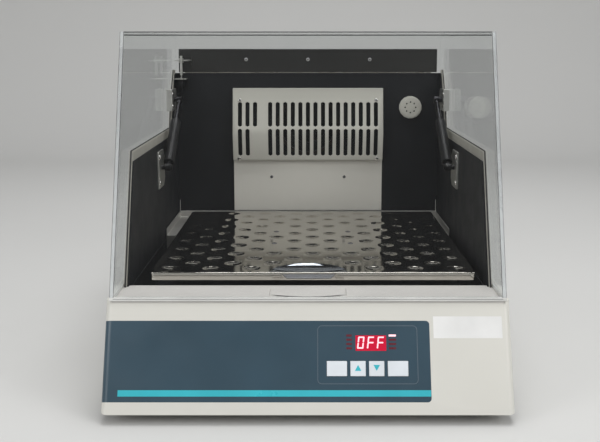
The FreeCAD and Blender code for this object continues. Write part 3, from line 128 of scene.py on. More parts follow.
# A material's tree, with the noises and ramps that the finishes share, in the object's own metres.
class Finish(NodeMaker):
    def __init__(self, name):
        self.material = bpy.data.materials.new(name)
        self.material.use_nodes = True
        super().__init__(self.material.node_tree)
        self.shader = self.tree.nodes["Principled BSDF"]
        self.where = self.add("TexCoord").outputs["Object"]

    def mapped(self, scale, shift=(0.0, 0.0, 0.0)):
        return self.fed(self.where, "Mapping", Scale=scale, Location=shift).outputs["Vector"]

    def noise(self, scale, detail=3.0, roughness=0.5, stretch=None):
        place = self.mapped(stretch) if stretch else self.where
        return self.fed(place, "TexNoise", Scale=scale, Detail=detail, Roughness=roughness).outputs["Fac"]

    # A colour or a grey by the value, straight between stops of a place and a tone.
    def ramp(self, value, stops):
        node = self.fed(value, "ValToRGB")
        marks = node.color_ramp.elements
        while len(marks) < len(stops):
            marks.new(0.5)
        for mark, (place, tone) in zip(marks, stops):
            mark.position = place
            mark.color = (*tone, 1.0) if hasattr(tone, "__len__") else (tone, tone, tone, 1.0)
        return node.outputs["Color"]

    # From low to high as a noise, given as scale, detail and roughness, rises between two stops.
    def drift(self, grain, low, high, stops=(0.3, 0.7)):
        return self.ramp(self.noise(*grain), list(zip(stops, (low, high))))

    # From low to high as the amount goes from 0 to 1.
    def mixed(self, amount, low, high):
        node = self.fed(amount, "Mix", data_type="RGBA")
        self.give(node.inputs[6], low)
        self.give(node.inputs[7], high)
        return node.outputs[2]

    def blended(self, amount, first, second):
        node = self.fed(amount, "MixShader")
        self.join(first, node.inputs[1])
        self.join(second, node.inputs[2])
        return node.outputs["Shader"]

    # Mask of a painted shade: 1 on a band along a circle's edge in plan and 0 off it, faded out towards the
    # arc's two ends along X.
    def arcShadeBand(self, arc):
        flat = self.mapped((1.0, 1.0, 0.0), (-arc["middle"][0], -arc["middle"][1], 0.0))
        reach = self.fed(flat, "VectorMath", operation="LENGTH").outputs["Value"]
        near, far = arc["radius"] - arc["inside"], arc["radius"] + arc["outside"]
        band = self.fed(reach, "MapRange", From_Min=near, From_Max=far).outputs["Result"]
        across = self.fed(flat, "SeparateXYZ").outputs["X"]
        side = self.fed(across, "Math", operation="ABSOLUTE").outputs[0]
        full = arc["half"] * arc["fullShare"]
        fade = self.fed(side, "MapRange", From_Min=full, From_Max=arc["half"], To_Min=1.0, To_Max=0.0)
        both = self.fed(self.ramp(band, arc["stops"]), "Math", operation="MULTIPLY")
        self.join(fade.outputs["Result"], both.inputs[1])
        return both.outputs[0]

    # 1 on exposed edges and 0 on flats, from the surface's pointiness.
    def worn(self):
        return self.ramp(self.add("NewGeometry").outputs["Pointiness"], [(wornFrom, 0.0), (wornTo, 1.0)])

    def bumped(self, height, strength, distance):
        node = self.add("Bump", Strength=strength, Distance=distance)
        self.join(height, node.inputs["Height"])
        self.join(node.outputs["Normal"], self.shader.inputs["Normal"])

    def put(self, **values):
        for key, value in values.items():
            self.give(self.shader.inputs[key.replace("_", " ")], value)


# A colour times a factor, kept between 0 and 1.
def shade(colour, factor):
    return tuple(min(1.0, max(0.0, c * factor)) for c in colour)


enamelLook = {
    "clouds": (9.0, 5.0, 0.6), "cleanShare": 0.4, "edge": 0.93,
    "patches": (40.0, 4.0), "patchStops": (0.35, 0.65), "smoother": 0.05, "rougher": 0.07,
    "peel": (900.0, 2.0), "peelBump": (0.10, 0.0003),
}


# Sprayed enamel: orange peel, cloudy dirt, darker worn edges and, where an arc is given, painted shade along
# it.
def enamel(name, colour, rough=0.42, dirt=0.05, arc=None):
    f, look = Finish(name), enamelLook
    tone = f.drift(look["clouds"], shade(colour, 1.0 - dirt), shade(colour, 1.0 + dirt * look["cleanShare"]))
    if arc:
        # painted shade of the scoop's rim, mixed into the tone
        tone = f.mixed(f.arcShadeBand(arc), tone, shade(colour, arc["shade"]))
    f.put(Base_Color=f.mixed(f.worn(), tone, shade(colour, look["edge"])))
    low, high = rough - look["smoother"], rough + look["rougher"]
    f.put(Roughness=f.drift(look["patches"], low, high, look["patchStops"]))
    f.bumped(f.noise(*look["peel"]), *look["peelBump"])
    return f.material


brushedLook = {
    "smears": (14.0, 4.0, 0.6), "smeared": 0.86, "patches": (22.0, 5.0, 0.65),
    "grain": (24.0, 5.0, 0.7), "stretch": (1.0, 60.0, 60.0), "deep": 0.0001,
}


# Stainless sheet with a fine grain along X, wiping marks and duller patches.
def brushed(name, colour, rough, dull=0.06, ridge=0.04):
    f, look = Finish(name), brushedLook
    f.put(Metallic=1.0, Base_Color=f.drift(look["smears"], shade(colour, look["smeared"]), colour))
    f.put(Roughness=f.drift(look["patches"], rough, rough + dull))
    f.bumped(f.noise(*look["grain"], look["stretch"]), ridge, look["deep"])
    return f.material


platedLook = {"clouds": (60.0,), "clouded": 0.9, "patches": (90.0, 4.0), "dull": 0.08}


# Plated or cast metal: slightly darker clouds and duller patches.
def plated(name, colour, rough):
    f, look = Finish(name), platedLook
    f.put(Metallic=1.0, Base_Color=f.drift(look["clouds"], shade(colour, look["clouded"]), colour))
    f.put(Roughness=f.drift(look["patches"], rough, rough + look["dull"]))
    return f.material


plasticLook = {
    "clouds": (12.0, 4.0), "darker": 0.9, "paler": 1.1, "specks": (210.0, 2.0, 0.4), "speckStops": (0.64, 0.70),
    "patches": (30.0, 4.0), "smoother": 0.04, "rougher": 0.06, "skinDetail": 2.0, "skinDeep": 0.0003,
}


# Moulded plastic or film: a fine skin, slight drift of the colour and, where given, sparse specks.
def plastic(name, colour, rough, skin=700.0, bump=0.08, speck=None, speckAmount=0.0, gloss=0.5):
    f, look = Finish(name), plasticLook
    tone = f.drift(look["clouds"], shade(colour, look["darker"]), shade(colour, look["paler"]))
    if speck:
        tone = f.mixed(f.drift(look["specks"], 0.0, speckAmount, look["speckStops"]), tone, speck)
    f.put(Base_Color=tone, Specular_IOR_Level=gloss)
    f.put(Roughness=f.drift(look["patches"], rough - look["smoother"], rough + look["rougher"]))
    f.bumped(f.noise(skin, look["skinDetail"]), bump, look["skinDeep"])
    return f.material


glowLook = {"spots": (600.0,), "spotStops": (0.2, 0.8), "dimmer": 0.9, "unlit": 0.3}


# A lit surface: its own dark colour plus an even glow with faint spots.
def glowing(name, colour, strength, rough=0.3):
    f, look = Finish(name), glowLook
    glow = f.drift(look["spots"], shade(colour, look["dimmer"]), colour, look["spotStops"])
    f.put(Base_Color=shade(colour, look["unlit"]), Roughness=rough)
    f.put(Emission_Color=glow, Emission_Strength=strength)
    return f.material


sheetLook = {
    "index": 1.45, "polish": 0.03, "gloss": (1.0, 1.0, 1.0, 1.0), "dustAndSheen": (0.8, 0.82, 0.82, 1.0),
    "shadow": (0.97, 0.97, 0.97, 1.0), "veil": (5.0, 6.0, 0.65), "veilStops": (0.35, 0.7), "thinVeil": 0.4,
}


# Clear sheet that the view passes through unbent: a veil of white diffuse, which is dust at a low haze and a
# painted highlight at a high one, then gloss by Fresnel times edgeGloss.
def clearSheet(name, tint, haze, edgeGloss=1.0):
    f, look = Finish(name), sheetLook
    through = f.add("BsdfTransparent", Color=(*tint, 1.0)).outputs["BSDF"]
    dustAndSheen = f.add("BsdfDiffuse", Color=look["dustAndSheen"]).outputs["BSDF"]
    gloss = f.add("BsdfGlossy", Roughness=look["polish"], Color=look["gloss"]).outputs["BSDF"]
    shadow = f.add("BsdfTransparent", Color=look["shadow"]).outputs["BSDF"]
    rim = f.fed(f.add("Fresnel", IOR=look["index"]).outputs["Fac"], "Math", operation="MULTIPLY")
    rim.inputs[1].default_value = edgeGloss
    veil = f.drift(look["veil"], haze * look["thinVeil"], haze, look["veilStops"])
    glossy = f.blended(rim.outputs[0], f.blended(veil, through, dustAndSheen), gloss)
    lit = f.blended(f.add("LightPath").outputs["Is Shadow Ray"], glossy, shadow)
    f.tree.nodes.remove(f.shader)
    f.join(lit, f.tree.nodes["Material Output"].inputs["Surface"])
    return f.material


# Painted shade along the curved edge of the deck's finger scoop, where its floor lies in shade, from inside to
# outside its radius.
scoopShadeArc = {
    "middle": (0.0, -0.0875), "radius": 0.1805, "inside": 0.002, "outside": 0.004,
    "half": 0.052, "fullShare": 0.80, "shade": 0.12,
    "stops": [(0.10, 0.0), (0.30, 1.0), (0.60, 1.0), (0.98, 0.0)],
}
linerSpeck = (0.022, 0.022, 0.025)
finishes = {
    "housing": enamel("housingEnamel", (0.68, 0.67, 0.62), 0.40, dirt=0.04),
    # the deck's enamel carries a painted shade along the scoop's edge
    "deck": enamel("deckEnamel", (0.61, 0.59, 0.565), 0.42, arc=scoopShadeArc),
    "wall": enamel("wallEnamel", (0.36, 0.35, 0.31), 0.45),
    "cover": enamel("coverEnamel", (0.50, 0.49, 0.44), 0.40),
    "liner": plastic("linerBlack", (0.009, 0.010, 0.012), 0.55, 900.0, 0.03, linerSpeck, 0.2, gloss=0.25),
    "black": plastic("mouldedBlack", (0.008, 0.008, 0.009), 0.42, gloss=0.3),
    "rubber": plastic("blackRubber", (0.012, 0.012, 0.013), 0.72, 500.0, 0.15),
    "steel": brushed("stainlessSheet", (0.56, 0.54, 0.50), 0.24),
    "bright": plated("brightPlating", (0.72, 0.71, 0.69), 0.14),
    "cast": plated("castAlloy", (0.50, 0.50, 0.50), 0.42),
    "iron": plated("machinedIron", (0.20, 0.20, 0.21), 0.38),
    "clear": clearSheet("clearAcrylic", (0.950, 0.955, 0.955), 0.004, edgeGloss=0.30),
    "strip": plastic("footStripWhite", (0.62, 0.62, 0.60), 0.22, 300.0, 0.04),
    "dark_plate": enamel("hingePlateDark", (0.014, 0.014, 0.013), 0.42, dirt=0.2),
    "overlay": plastic("overlayFilm", (0.035, 0.070, 0.098), 0.34, 1500.0, 0.05),
    "window": glowing("windowGlow", (0.62, 0.006, 0.040), 0.75, 0.15),
    "key_grey": plastic("keyFilmPale", (0.70, 0.74, 0.78), 0.32, 1500.0, 0.04),
    "key_teal": plastic("keyFilmTeal", (0.70, 0.74, 0.78), 0.32, 1500.0, 0.04),
    "board": plastic("circuitBoard", (0.016, 0.10, 0.04), 0.4),
    "motor": enamel("motorEnamel", (0.02, 0.02, 0.023), 0.35),
    "heater": plated("heaterSheath", (0.05, 0.045, 0.04), 0.5),
}
stripeFilm = plastic("stripeFilm", (0.040, 0.46, 0.54), 0.30, 1500.0, 0.04)
lineFilm = plastic("lineFilm", (0.16, 0.19, 0.22), 0.34, 1500.0, 0.04)
labelFilm = plastic("labelFilm", (0.78, 0.78, 0.77), 0.38, 900.0, 0.03)
digitGlow = glowing("digitGlow", (1.0, 0.60, 0.66), 1.25)
barDark = plastic("barDark", (0.13, 0.020, 0.030), 0.25, 300.0, 0.02)
bowlChrome = plated("bowlChrome", (0.40, 0.42, 0.46), 0.05)
# Whitish film on the acrylic's sawn edges: painted highlight.
edgeHighlight = clearSheet("edgeHighlight", (0.86, 0.88, 0.89), 0.42)
# Dark clear film for the lines at the lid's joints and edges: painted shade, with the glue line at the joints.
jointAndEdgeShade = clearSheet("jointAndEdgeShade", (0.30, 0.31, 0.31), 0.05)
platformSteel = brushed("platformSteel", (0.62, 0.59, 0.54), 0.06, 0.05, 0.008)
darkSteel = plated("nitridedSteel", (0.035, 0.035, 0.038), 0.30)
zincPlate = plated("zincPlate", (0.58, 0.58, 0.55), 0.36)
baffleEnamel = enamel("baffleEnamel", (0.76, 0.74, 0.68), 0.40)
satinSteel = brushed("satinSteel", (0.66, 0.65, 0.62), 0.46, 0.08)

for nodeName, nodeObject in nodes.items():
    nodeObject.data.materials.clear()
    nodeObject.data.materials.append(finishes[slotOf[nodeName]])
print("materials set")

# Degrees above which an edge stays sharp, for each sort of mesh.
dressedAngle = 34.0
platformAngle = 28.0
pieceAngle = 32.0
toolAngle = 30.0
screwAngle = 40.0
flatAngle = 0.6  # faces that turn by less become one
mergeDistance = 2e-6
easedSegments = 2


# Merges doubled corners, turns the faces outwards where asked and marks the edges sharper than the angle.
def cleaned(data, sharpness, flatten=False, outward=True):
    mesh = bmesh.new()
    mesh.from_mesh(data)
    bmesh.ops.remove_doubles(mesh, verts=mesh.verts, dist=mergeDistance)
    if flatten:
        bmesh.ops.dissolve_limit(mesh, angle_limit=math.radians(flatAngle), verts=mesh.verts, edges=mesh.edges)
    if outward:
        bmesh.ops.recalc_face_normals(mesh, faces=mesh.faces)
    limit = math.radians(sharpness)
    for face in mesh.faces:
        face.smooth = True
    for edge in mesh.edges:
        edge.smooth = len(edge.link_faces) == 2 and edge.calc_face_angle() < limit
    mesh.to_mesh(data)
    mesh.free()


# An object from a point array and face lists.
def loose(name, points, faces, sharpness=toolAngle):
    data = bpy.data.meshes.new(name)
    data.from_pydata(np.asarray(points, float).tolist(), [], [list(map(int, face)) for face in faces])
    piece = bpy.data.objects.new(name, data)
    collection.objects.link(piece)
    cleaned(data, sharpness)
    return piece


# A visible piece of its own, in its finish, that rides on a body.
def newPiece(name, points, faces, material, body, slot, sharpness=pieceAngle):
    piece = loose(name, points, faces, sharpness)
    piece.data.materials.append(material)
    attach(piece, body)
    return piece


# Small rounded edges.
def eased(piece, width):
    bevel = piece.modifiers.new("easedEdges", "BEVEL")
    bevel.width = width
    bevel.segments = easedSegments
    bevel.limit_method = "ANGLE"
    bevel.angle_limit = math.radians(dressedAngle)


# A copy of a CAD node in its place, with merged corners, smooth curves and eased edges.
def dressed(node, width, material):
    data = nodes[node].data.copy()
    piece = bpy.data.objects.new(node + "_dressed", data)
    collection.objects.link(piece)
    cleaned(data, dressedAngle, flatten=True, outward=False)
    data.materials.clear()
    data.materials.append(material)
    eased(piece, width)
    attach(piece, ownerOf[node])
    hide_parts(node)
    return piece


# Applies an exact boolean and drops the tool.
def combine(piece, tool, operation):
    boolean = piece.modifiers.new("shaping", "BOOLEAN")
    boolean.operation = operation
    boolean.solver = "EXACT"
    boolean.object = tool
    graph = bpy.context.evaluated_depsgraph_get()
    shaped = bpy.data.meshes.new_from_object(piece.evaluated_get(graph))
    piece.modifiers.clear()
    piece.data = shaped
    bpy.data.objects.remove(tool)
    cleaned(piece.data, platformAngle, outward=False)


# Quads between closed rings of points, one after another: points i and i + 1 of ring k and of ring k + 1.
def ringFaces(bands, count):
    k, i = np.meshgrid(np.arange(bands), np.arange(count), indexing="ij")
    j = (i + 1) % count
    return np.stack([k * count + i, k * count + j, (k + 1) * count + j, (k + 1) * count + i], -1).reshape(-1, 4)


# Pairs of radius and height carried round an axis: (r cos t, r sin t, h), closed at both ends.
def turnedSurface(profile, steps):
    profile = np.asarray(profile, float)
    t = np.linspace(0.0, 2.0 * np.pi, steps, endpoint=False)
    ring = np.stack([np.cos(t), np.sin(t)], -1)
    xy = profile[:, None, 0:1] * ring[None]
    z = np.broadcast_to(profile[:, None, 1:2], (len(profile), steps, 1))
    bands = len(profile) - 1
    caps = [list(range(steps))[::-1], list(range(bands * steps, (bands + 1) * steps))]
    return np.concatenate([xy, z], -1).reshape(-1, 3), ringFaces(bands, steps).tolist() + caps


# The turn that takes +Z to a direction z: y is z cross a side axis away from z, and x is y cross z.
def facing(direction):
    z = np.array(direction, float) / np.linalg.norm(direction)
    side = [1.0, 0.0, 0.0] if abs(z[0]) < 0.9 else [0.0, 1.0, 0.0]  # X, unless z is nearly along it
    y = np.cross(z, side)
    y /= np.linalg.norm(y)
    return np.stack([np.cross(y, z), y, z], -1)


# Several point and face sets as one.
def gathered(parts):
    points, faces, count = [], [], 0
    for some, sides in parts:
        points.append(some)
        faces += [[i + count for i in side] for side in sides]
        count += len(some)
    return np.concatenate(points), faces


# A shape turned so that its +Z runs along the direction, then moved to the place.
def placed(shape, place, direction):
    points, faces = shape
    return points @ facing(direction).T + np.array(place, float), faces


# A block between three pairs of limits.
def slab(x, y, z):
    points = np.stack(np.meshgrid(x, y, z, indexing="ij"), -1).reshape(-1, 3)
    faces = [[0, 1, 3, 2], [4, 6, 7, 5], [0, 4, 5, 1], [2, 3, 7, 6], [0, 2, 6, 4], [1, 5, 7, 3]]
    return points, faces


# Two like loops of points joined by quads, with a face on each.
def prism(low, high):
    count = len(low)
    ends = [[0] + list(range(count - 1, 0, -1)), list(range(count, 2 * count))]
    return np.concatenate([low, high]), ends + ringFaces(1, count).tolist()


# Studio paper: a floor that bends up into a wall, y = back + bend sin t and z = bend (1 - cos t).
stageSize = {
    "half": 4.0, "back": 2.2, "bend": 0.8, "high": 3.2, "steps": 13,
    "colour": (0.56, 0.56, 0.55), "clouds": (2.0,), "clouded": 0.985, "cloudStops": (0.2, 0.8), "rough": 0.85,
}
bendAngles = np.linspace(0.0, np.pi / 2.0, stageSize["steps"])
bendY = stageSize["back"] + stageSize["bend"] * np.sin(bendAngles)
bendZ = stageSize["bend"] * (1.0 - np.cos(bendAngles))
sweepY = np.concatenate([[-stageSize["half"]], bendY, [stageSize["back"] + stageSize["bend"]]])
sweepZ = np.concatenate([[0.0], bendZ, [stageSize["high"]]])
sweepX = np.tile([-stageSize["half"], stageSize["half"]], len(sweepY))
sweepPoints = np.stack([sweepX, np.repeat(sweepY, 2), np.repeat(sweepZ, 2)], -1)
sweepRows = 2 * np.arange(len(sweepY) - 1)
sweepFaces = np.stack([sweepRows, sweepRows + 1, sweepRows + 3, sweepRows + 2], -1)
sweepData = bpy.data.meshes.new("studioSweep")
sweepData.from_pydata(sweepPoints.tolist(), [], sweepFaces.tolist())
for polygon in sweepData.polygons:
    polygon.use_smooth = True
paper = Finish("studioPaper")
paleTone, darkTone = stageSize["colour"], shade(stageSize["colour"], stageSize["clouded"])
paper.put(Base_Color=paper.drift(stageSize["clouds"], darkTone, paleTone, stageSize["cloudStops"]))
paper.put(Roughness=stageSize["rough"])
sweepData.materials.append(paper.material)
studioSweep = bpy.data.objects.new("studioSweep", sweepData)
collection.objects.link(studioSweep)

# Even light from all round, and for gloss a darker room that fades from lowGloss to highGloss with height.
airLook = {"even": 0.55, "fadeFrom": 0.45, "fadeTo": 0.80, "lowGloss": 0.26, "highGloss": 0.02}
world = bpy.data.worlds.new("studioAir")
bpy.context.scene.world = world
world.use_nodes = True
air = NodeMaker(world.node_tree)
background = world.node_tree.nodes["Background"]
air.give(background.inputs["Color"], (1.0, 1.0, 1.0))
way = air.fed(air.add("TexCoord").outputs["Generated"], "SeparateXYZ")
fade = air.fed(
    way.outputs["Z"], "MapRange", From_Min=airLook["fadeFrom"], From_Max=airLook["fadeTo"],
    To_Min=airLook["lowGloss"], To_Max=airLook["highGloss"],
)
level = air.fed(air.add("LightPath").outputs["Is Glossy Ray"], "MapRange", To_Min=airLook["even"])
air.join(fade.outputs["Result"], level.inputs["To Max"])
air.join(level.outputs["Result"], background.inputs["Strength"])
print("stage set")

easedWidths = {
    "base_shell": 0.0009, "top_deck": 0.0006, "rear_housing": 0.0010, "side_wall_left": 0.0007,
    "side_wall_right": 0.0007, "side_liners": 0.0004, "rear_wall": 0.0004, "chamber_tub": 0.0003,
    "vent_cover": 0.0006, "baffle_panel": 0.0003, "feet": 0.0012, "sensor_cap": 0.0006, "hinge_plate": 0.0012,
    "lid_foot_strip": 0.0005, "wall_gaskets": 0.0004, "strut_brackets_lower": 0.0005,
    "strut_brackets_upper": 0.0005, "lid_switch": 0.0003, "striker_bracket": 0.0003, "base_hinge_leaf": 0.0003,
    "lid_hinge_leaf": 0.0003, "control_overlay": 0.0002, "start_key": 0.0004, "up_key": 0.0004,
    "down_key": 0.0004, "select_key": 0.0004, "power_inlet": 0.0005, "power_switch_frame": 0.0004,
    "power_rocker": 0.0004, "bottom_plate": 0.0004, "strut_cylinder_left": 0.0006,
    "strut_cylinder_right": 0.0006, "strut_rod_left": 0.0003, "strut_rod_right": 0.0003,
    "switch_plunger": 0.0002, "drive_casting": 0.0006, "drive_crank": 0.0006, "idler_crank_1": 0.0006,
    "idler_crank_2": 0.0006, "platform_carrier": 0.0006,
}
otherFinish = {
    "strut_rod_left": darkSteel, "strut_rod_right": darkSteel, "sensor_cap": finishes["cover"],
    "strut_brackets_lower": zincPlate, "strut_brackets_upper": zincPlate, "striker_bracket": zincPlate,
    "lid_switch": zincPlate, "chamber_tub": finishes["liner"], "baffle_panel": baffleEnamel,
}
pieces = {
    node: dressed(node, width, otherFinish.get(node, finishes[slotOf[node]]))
    for node, width in easedWidths.items()
}

paintLines = {
    "switchTop": 0.4162, "switchFront": 0.246,  # the moulded switch, under and behind its bracket
    "strikerFront": 0.3005,                     # the bolt, behind its plate
    "openingSide": (0.2490, 0.2515), "openingTop": 0.1480,  # side walls of the deck's opening
    "studSide": 0.2465,                         # studs that stand out from the lower brackets' plates
    "baffleEdge": 0.0005, "baffleDrop": 0.0048,  # the foot goes down behind the platform, as in the photo
}


# A second material on the faces whose middle is chosen.
def repainted(node, material, chosen):
    data = pieces[node].data
    data.materials.append(material)
    for polygon in data.polygons:
        if chosen(polygon.center):
            polygon.material_index = 1


# Whether a face's middle lies on the moulded switch.
def onSwitch(c):
    return c.z < paintLines["switchTop"] and c.y > paintLines["switchFront"]


# Whether a face of the deck looks into its opening from the side.
def inOpening(c):
    near, far = paintLines["openingSide"]
    return near < abs(c.x) < far and c.z < paintLines["openingTop"]


repainted("lid_switch", finishes["black"], onSwitch)
repainted("striker_bracket", finishes["dark_plate"], lambda c: c.y > paintLines["strikerFront"])
repainted("top_deck", finishes["liner"], inOpening)
repainted("strut_brackets_lower", finishes["black"], lambda c: abs(c.x) < paintLines["studSide"])
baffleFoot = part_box("baffle_panel")[0][2]
for vertex in pieces["baffle_panel"].data.vertices:
    if vertex.co.z < baffleFoot + paintLines["baffleEdge"]:
        vertex.co.z -= paintLines["baffleDrop"]
print("CAD nodes dressed")

platformLow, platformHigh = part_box("platform")
platformMiddle = ((platformLow[0] + platformHigh[0]) / 2.0, (platformLow[1] + platformHigh[1]) / 2.0)
platformSize = {
    "half": (platformHigh[0] - platformLow[0]) / 2.0, "top": platformHigh[2],
    "deep": platformHigh[2] - platformLow[2],
    "sheet": 0.0040, "rim": 0.0022, "round": 0.0050, "lip": 0.0012, "lipSteps": 5,
    "cells": 15, "pitch": 0.02925, "radius": 0.0123, "sink": 0.0028, "segments": 24,
    "dishRings": ((1.06, 0.0), (1.0, 0.03), (0.93, 0.185), (0.75, 0.50), (0.5, 0.78), (0.25, 0.945)),
    "plainCells": {(5, 5), (5, 9), (9, 5), (9, 9), (6, 0), (8, 0), (7, 1)},  # under the screws and the grip
    "screws": (0.0612, 0.0448), "screwHead": (0.0044, 0.0009),
}


# Evenly spaced points along the four sides of a square, times half.
def squareRing(half, segments):
    s = np.linspace(-1.0, 1.0, segments // 4, endpoint=False)
    one = np.ones(segments // 4)
    sides = [np.stack([one, s], -1), np.stack([-s, one], -1), np.stack([-one, -s], -1), np.stack([s, -one], -1)]
    return np.concatenate(sides) * half


# A square's points with those near a corner pulled onto an arc: core + (p - core) / |p - core| times radius.
def roundedSquare(direction, half, radius):
    p = direction * half
    core = half - radius
    over = np.maximum(np.abs(p) - core, 0.0)
    length = np.linalg.norm(over, axis=1, keepdims=True)
    both = (over > 0).all(axis=1, keepdims=True)
    way = over / np.maximum(length, 1e-9)  # the floor only keeps the flat sides from dividing by zero
    pulled = np.sign(p) * (np.minimum(np.abs(p), core) + way * radius)
    return np.where(both, pulled, p)


# Offsets out and down from the flat top: (lip sin t, -lip (1 - cos t)), down the rim, under it and up inside.
def roundedRim():
    s = platformSize
    flat, inner = s["round"] - s["lip"], s["round"] - s["rim"]
    t = np.linspace(0.0, np.pi / 2.0, s["lipSteps"])
    lip = np.stack([flat + s["lip"] * np.sin(t), -s["lip"] * (1.0 - np.cos(t))], -1)
    return np.concatenate([lip, [(s["round"], -s["deep"]), (inner, -s["deep"]), (inner, -s["sheet"])]])


# Square cells on a grid. A dimpled cell is a square, then rings of radius t, each down by its share of sink, to
# a point in the middle. A band of rounded squares carries the grid's edge outwards and round the rim.
def platformTop():
    s, n = platformSize, platformSize["segments"]
    square = squareRing(s["pitch"] / 2.0, n)
    angle = np.arctan2(square[:, 1], square[:, 0])
    around = np.stack([np.cos(angle), np.sin(angle)], -1)
    plain = np.c_[square, np.zeros(n)]
    rings = [plain]
    for t, drop in s["dishRings"]:
        rings.append(np.c_[around * s["radius"] * t, np.full(n, -drop * s["sink"])])
    dish = np.concatenate(rings + [np.array([[0.0, 0.0, -s["sink"]]])])
    inmost = (len(rings) - 1) * n + np.arange(n)
    fan = np.stack([inmost, np.roll(inmost, -1), np.full(n, len(dish) - 1)], -1)
    dishFaces = ringFaces(len(rings) - 1, n).tolist() + fan.tolist()
    parts = []
    for row in range(s["cells"]):
        for column in range(s["cells"]):
            middle = np.array([column - s["cells"] // 2, row - s["cells"] // 2, 0.0]) * s["pitch"]
            if (row + column) % 2 == 0 and (column, row) not in s["plainCells"]:
                parts.append((dish + middle, dishFaces))
            else:
                parts.append((plain + middle, [list(range(n))]))
    count = s["cells"] * n
    outer = s["half"] - s["round"]
    corners = squareRing(1.0, count)
    band = [np.c_[squareRing(s["cells"] / 2.0 * s["pitch"], count), np.zeros(count)]]
    for out, drop in roundedRim():
        band.append(np.c_[roundedSquare(corners, outer + out, s["round"]), np.full(count, drop)])
    walls = len(band) - 1
    under = list(range(walls * count, (walls + 1) * count))
    parts.append((np.concatenate(band), ringFaces(walls, count).tolist() + [under]))
    points, faces = gathered(parts)
    points[:, :2] += platformMiddle
    points[:, 2] += s["top"]
    return points, faces


platformBody = ownerOf["platform"]
platformPan = newPiece("platformPan", *platformTop(), platformSteel, platformBody, "steel", platformAngle)

# Finger grip at the platform's front: a block under the sheet, a bowl cut into it and a recess in the rim.
grip = {
    "middle": -0.006, "half": 0.055, "reach": 0.0518, "depth": 0.0092, "curve": 1.4,
    "rise": -0.35, "end": np.pi / 2.0 * 0.985, "steps": (56, 16),
    "blockSide": 0.0032, "blockY": (-0.0004, 0.0556), "blockUnder": 0.0014, "blockTop": 0.0034,
    "recessTop": (0.038, 0.0024), "recessFoot": (0.031, 0.0092),  # half width and depth below the sheet
    "recessY": (-0.001, 0.0012), "recessReach": 0.039,
    "skin": 0.0002, "bowlDrop": (0.00005, 0.0095), "upward": 0.05,  # what counts as the bowl's polished inside
}
gripX = platformMiddle[0] + grip["middle"]
rimY, rimTop = platformMiddle[1] - platformSize["half"], platformSize["top"]
frontLine = rimY + platformSize["rim"]


# Bowl (a cos u cos v, b sin u cos v, -c sin v ^ curve), drawn full round and a little above the sheet.
def gripBowl():
    columns, rows = grip["steps"]
    u = np.linspace(0.0, 2.0 * np.pi, columns, endpoint=False)
    v = np.linspace(grip["rise"], grip["end"], rows)
    uu, vv = np.meshgrid(u, v, indexing="xy")
    across = grip["half"] * np.cos(uu) * np.cos(vv)
    back = grip["reach"] * np.sin(uu) * np.cos(vv)
    sunk = np.sign(vv) * np.abs(np.sin(vv)) ** grip["curve"] * grip["depth"]
    points = np.stack([across, back, -sunk], -1).reshape(-1, 3) + [gripX, frontLine, rimTop]
    points[:, 1] = np.maximum(points[:, 1], frontLine)
    caps = [list(range(columns)), list(range((rows - 1) * columns, rows * columns))[::-1]]
    return points, ringFaces(rows - 1, columns)[:, [0, 3, 2, 1]].tolist() + caps


# The recess: a shallow trapezium, wider at its top, pressed into the rim's front.
def rimRecess():
    (top, topDrop), (foot, footDrop) = grip["recessTop"], grip["recessFoot"]
    x = gripX + np.array([-top, top, foot, -foot])
    z = rimTop - np.array([topDrop, topDrop, footDrop, footDrop])
    return prism(*[np.stack([x, np.full(4, rimY + y), z], -1) for y in grip["recessY"]])


blockX = [gripX + side * (grip["half"] + grip["blockSide"]) for side in (-1, 1)]
blockZ = (rimTop - grip["depth"] - grip["blockUnder"], rimTop - grip["blockTop"])
gripBlock = slab(blockX, [frontLine + y for y in grip["blockY"]], blockZ)
combine(platformPan, loose("gripBlock", *gripBlock), "UNION")
combine(platformPan, loose("gripBowl", *gripBowl()), "DIFFERENCE")
combine(platformPan, loose("rimRecess", *rimRecess()), "DIFFERENCE")
platformPan.data.materials.append(bowlChrome)
for polygon in platformPan.data.polygons:
    x, y, z = polygon.center
    inPlan = ((x - gripX) / grip["half"]) ** 2 + ((y - frontLine) / grip["reach"]) ** 2 < 1.0
    inDepth = grip["bowlDrop"][0] < rimTop - z < grip["bowlDrop"][1]
    inBowl = inPlan and inDepth and y > frontLine + grip["skin"] and polygon.normal.z > grip["upward"]
    inRecess = abs(y - rimY - grip["recessY"][1]) < grip["skin"] and abs(x - gripX) < grip["recessReach"]
    polygon.material_index = 1 if inBowl or inRecess else 0
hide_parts("platform")

screwLook = {
    "steps": 20, "rows": 6, "wall": 0.35, "turn": math.pi / 2.2,
    "crossLong": 0.52, "crossWide": 0.12, "crossLow": 0.80, "crossHigh": 1.01,
}


# Domed head over a short wall: (radius cos t, tall (wall + (1 - wall) sin t)).
def screwHead(radius, tall):
    wall = screwLook["wall"]
    t = np.linspace(0.0, screwLook["turn"], screwLook["rows"])
    dome = np.stack([radius * np.cos(t), tall * (wall + (1.0 - wall) * np.sin(t))], -1)
    return turnedSurface(np.concatenate([[[radius, 0.0]], dome]), screwLook["steps"])


# Two short black bars crossed over the head: painted shade standing for its cross recess.
def crossRecessShade(radius, tall):
    a, b = radius * screwLook["crossLong"], radius * screwLook["crossWide"]
    z = (tall * screwLook["crossLow"], tall * screwLook["crossHigh"])
    return gathered([slab((-a, a), (-b, b), z), slab((-b, b), (-a, a), z)])


